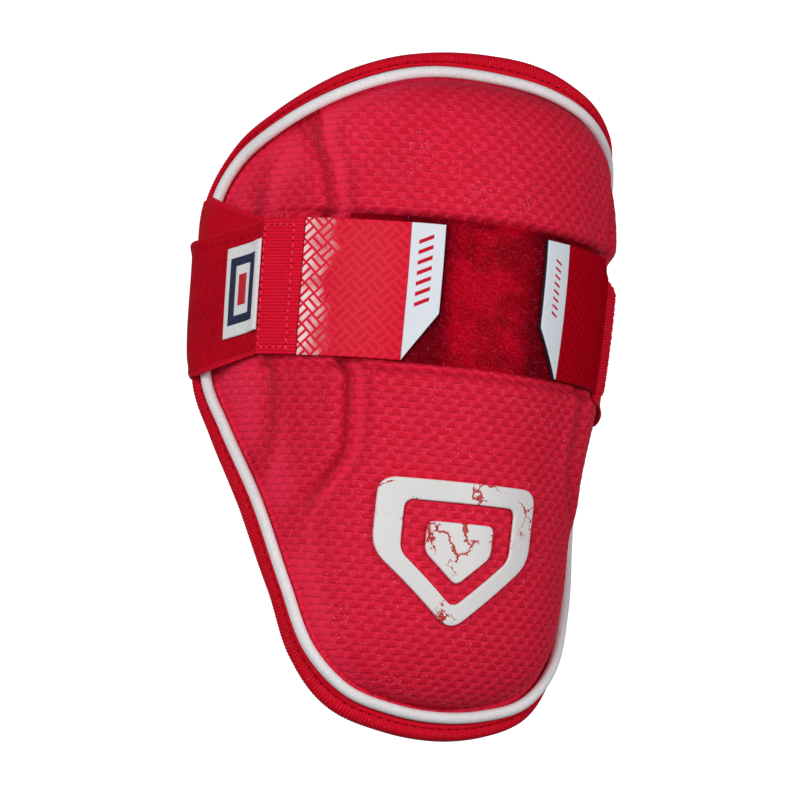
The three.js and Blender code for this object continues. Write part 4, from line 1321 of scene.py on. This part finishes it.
def badge_finish():
    finish = new_finish("white_badge", 0.42, 0.3)
    place = place_of(finish)
    bend = noise(place, 160.0, 5.0, 0.65, "Color")
    moved = put(place.tree, "ShaderNodeVectorMath", {0: place, 1: scaled(bend, 0.012)}, operation="ADD")[0]
    links = {"Vector": moved, "Scale": 95.0}
    crack = put(place.tree, "ShaderNodeTexVoronoi", links, feature="DISTANCE_TO_EDGE")["Distance"]
    vein = calc("LESS_THAN", crack, step_up(noise(place, 58.0, 2.0), 0.5, 0.7) * 0.06)
    tint = mix(vein, (224, 221, 221), (180, 46, 44))
    return surface(finish, drifting(tint, place, 0.02, 0.015), bend, 0.00002, 0.3)


badge_rubber = badge_finish()
badge_ring = badge_plate("badge_ring", (1.0, 5.5), (BADGE["frame"], 3.0))
dress(badge_ring, "badge_rubber", "badge_frame", finish=badge_rubber)
badge_core = badge_plate("badge_middle", (BADGE["core"], 2.4))
dress(badge_core, "badge_rubber", "badge_core", finish=badge_rubber)


# Studio. A plain white sweep under the guard, a soft light over its left wing, a weaker one over the right,
# and a long lens that looks down from above the left wing.
VIEW = dict(yaw=28.0, pitch=5.5, roll=4.4, distance=1000.0, focal_px=3100.0, image_px=801.0, left=17.74, down=1.13)
AIM = Vector((0.02, -0.31, 50.1))
LIGHTS = {
    "key": dict(place=(-0.65, 0.10, 0.60), size=0.4, power=4.65),
    "fill": dict(place=(0.29, 0.06, 0.85), size=0.4, power=3.45),
}
LIGHT_AIM = Vector((0, 0, 0.05))
WORLD_LIGHT = 0.08
FLOOR = dict(half=4, level=-0.0004, seen=0.92, unseen=0.45, glow=0.75)
yaw, pitch, roll = (math.radians(VIEW[k]) for k in ("yaw", "pitch", "roll"))
back = Vector((-math.sin(yaw) * math.cos(pitch), -math.sin(pitch), math.cos(yaw) * math.cos(pitch)))
right = Vector((math.cos(yaw), 0, math.sin(yaw)))
up = back.cross(right)
right, up = right * math.cos(roll) + up * math.sin(roll), up * math.cos(roll) - right * math.sin(roll)
eye = (AIM + back * VIEW["distance"]) * MM
target = (AIM - right * VIEW["left"] - up * VIEW["down"]) * MM


def facing(place, at, upward):
    """Place and turn of a camera or light that looks at a point."""
    z = (place - at).normalized()
    x = upward.cross(z).normalized()
    return Matrix.Translation(place) @ Matrix((x, z.cross(x), z)).transposed().to_4x4()


camera = placed("camera", bpy.data.cameras.new("camera"))
camera.data.sensor_width = 36
camera.data.lens = VIEW["focal_px"] / VIEW["image_px"] * camera.data.sensor_width
camera.data.clip_start, camera.data.clip_end = 0.01, 20
camera.matrix_world = facing(eye, target, up)
bpy.context.scene.camera = camera

for label, light in LIGHTS.items():
    lamp = placed(label, bpy.data.lights.new(label, "AREA"))
    lamp.data.size, lamp.data.energy = light["size"], light["power"]
    lamp.matrix_world = facing(Vector(light["place"]), LIGHT_AIM, Vector((0, 1, 0)))

world = bpy.data.worlds.new("studio")
world.use_nodes = True
world.node_tree.nodes["Background"].inputs["Color"].default_value = (1, 1, 1, 1)
world.node_tree.nodes["Background"].inputs["Strength"].default_value = WORLD_LIGHT
bpy.context.scene.world = world
bpy.context.scene.view_settings.view_transform = "Standard"

floor_mesh = bpy.data.meshes.new("floor")
corners = [(x * FLOOR["half"], y * FLOOR["half"]) for x, y in ((-1, -1), (1, -1), (1, 1), (-1, 1))]
floor_mesh.from_pydata([(*corner, FLOOR["level"]) for corner in corners], [], [(0, 1, 2, 3)])
floor = placed("floor", floor_mesh)
floor_finish = new_finish("pale_floor", 0.9, 0.0)
seen = put(floor_finish.node_tree, "ShaderNodeLightPath")["Is Camera Ray"]
greys = {6: (*[FLOOR["unseen"]] * 3, 1), 7: (*[FLOOR["seen"]] * 3, 1)}
surface(floor_finish, put(seen.tree, "ShaderNodeMix", {0: seen, **greys}, data_type="RGBA")[2])
floor_shader = floor_finish.node_tree.nodes["Principled BSDF"]
floor_shader.inputs["Emission Color"].default_value = (1, 1, 1, 1)
floor_finish.node_tree.links.new((seen * FLOOR["glow"]).socket, floor_shader.inputs["Emission Strength"])
floor_mesh.materials.append(floor_finish)
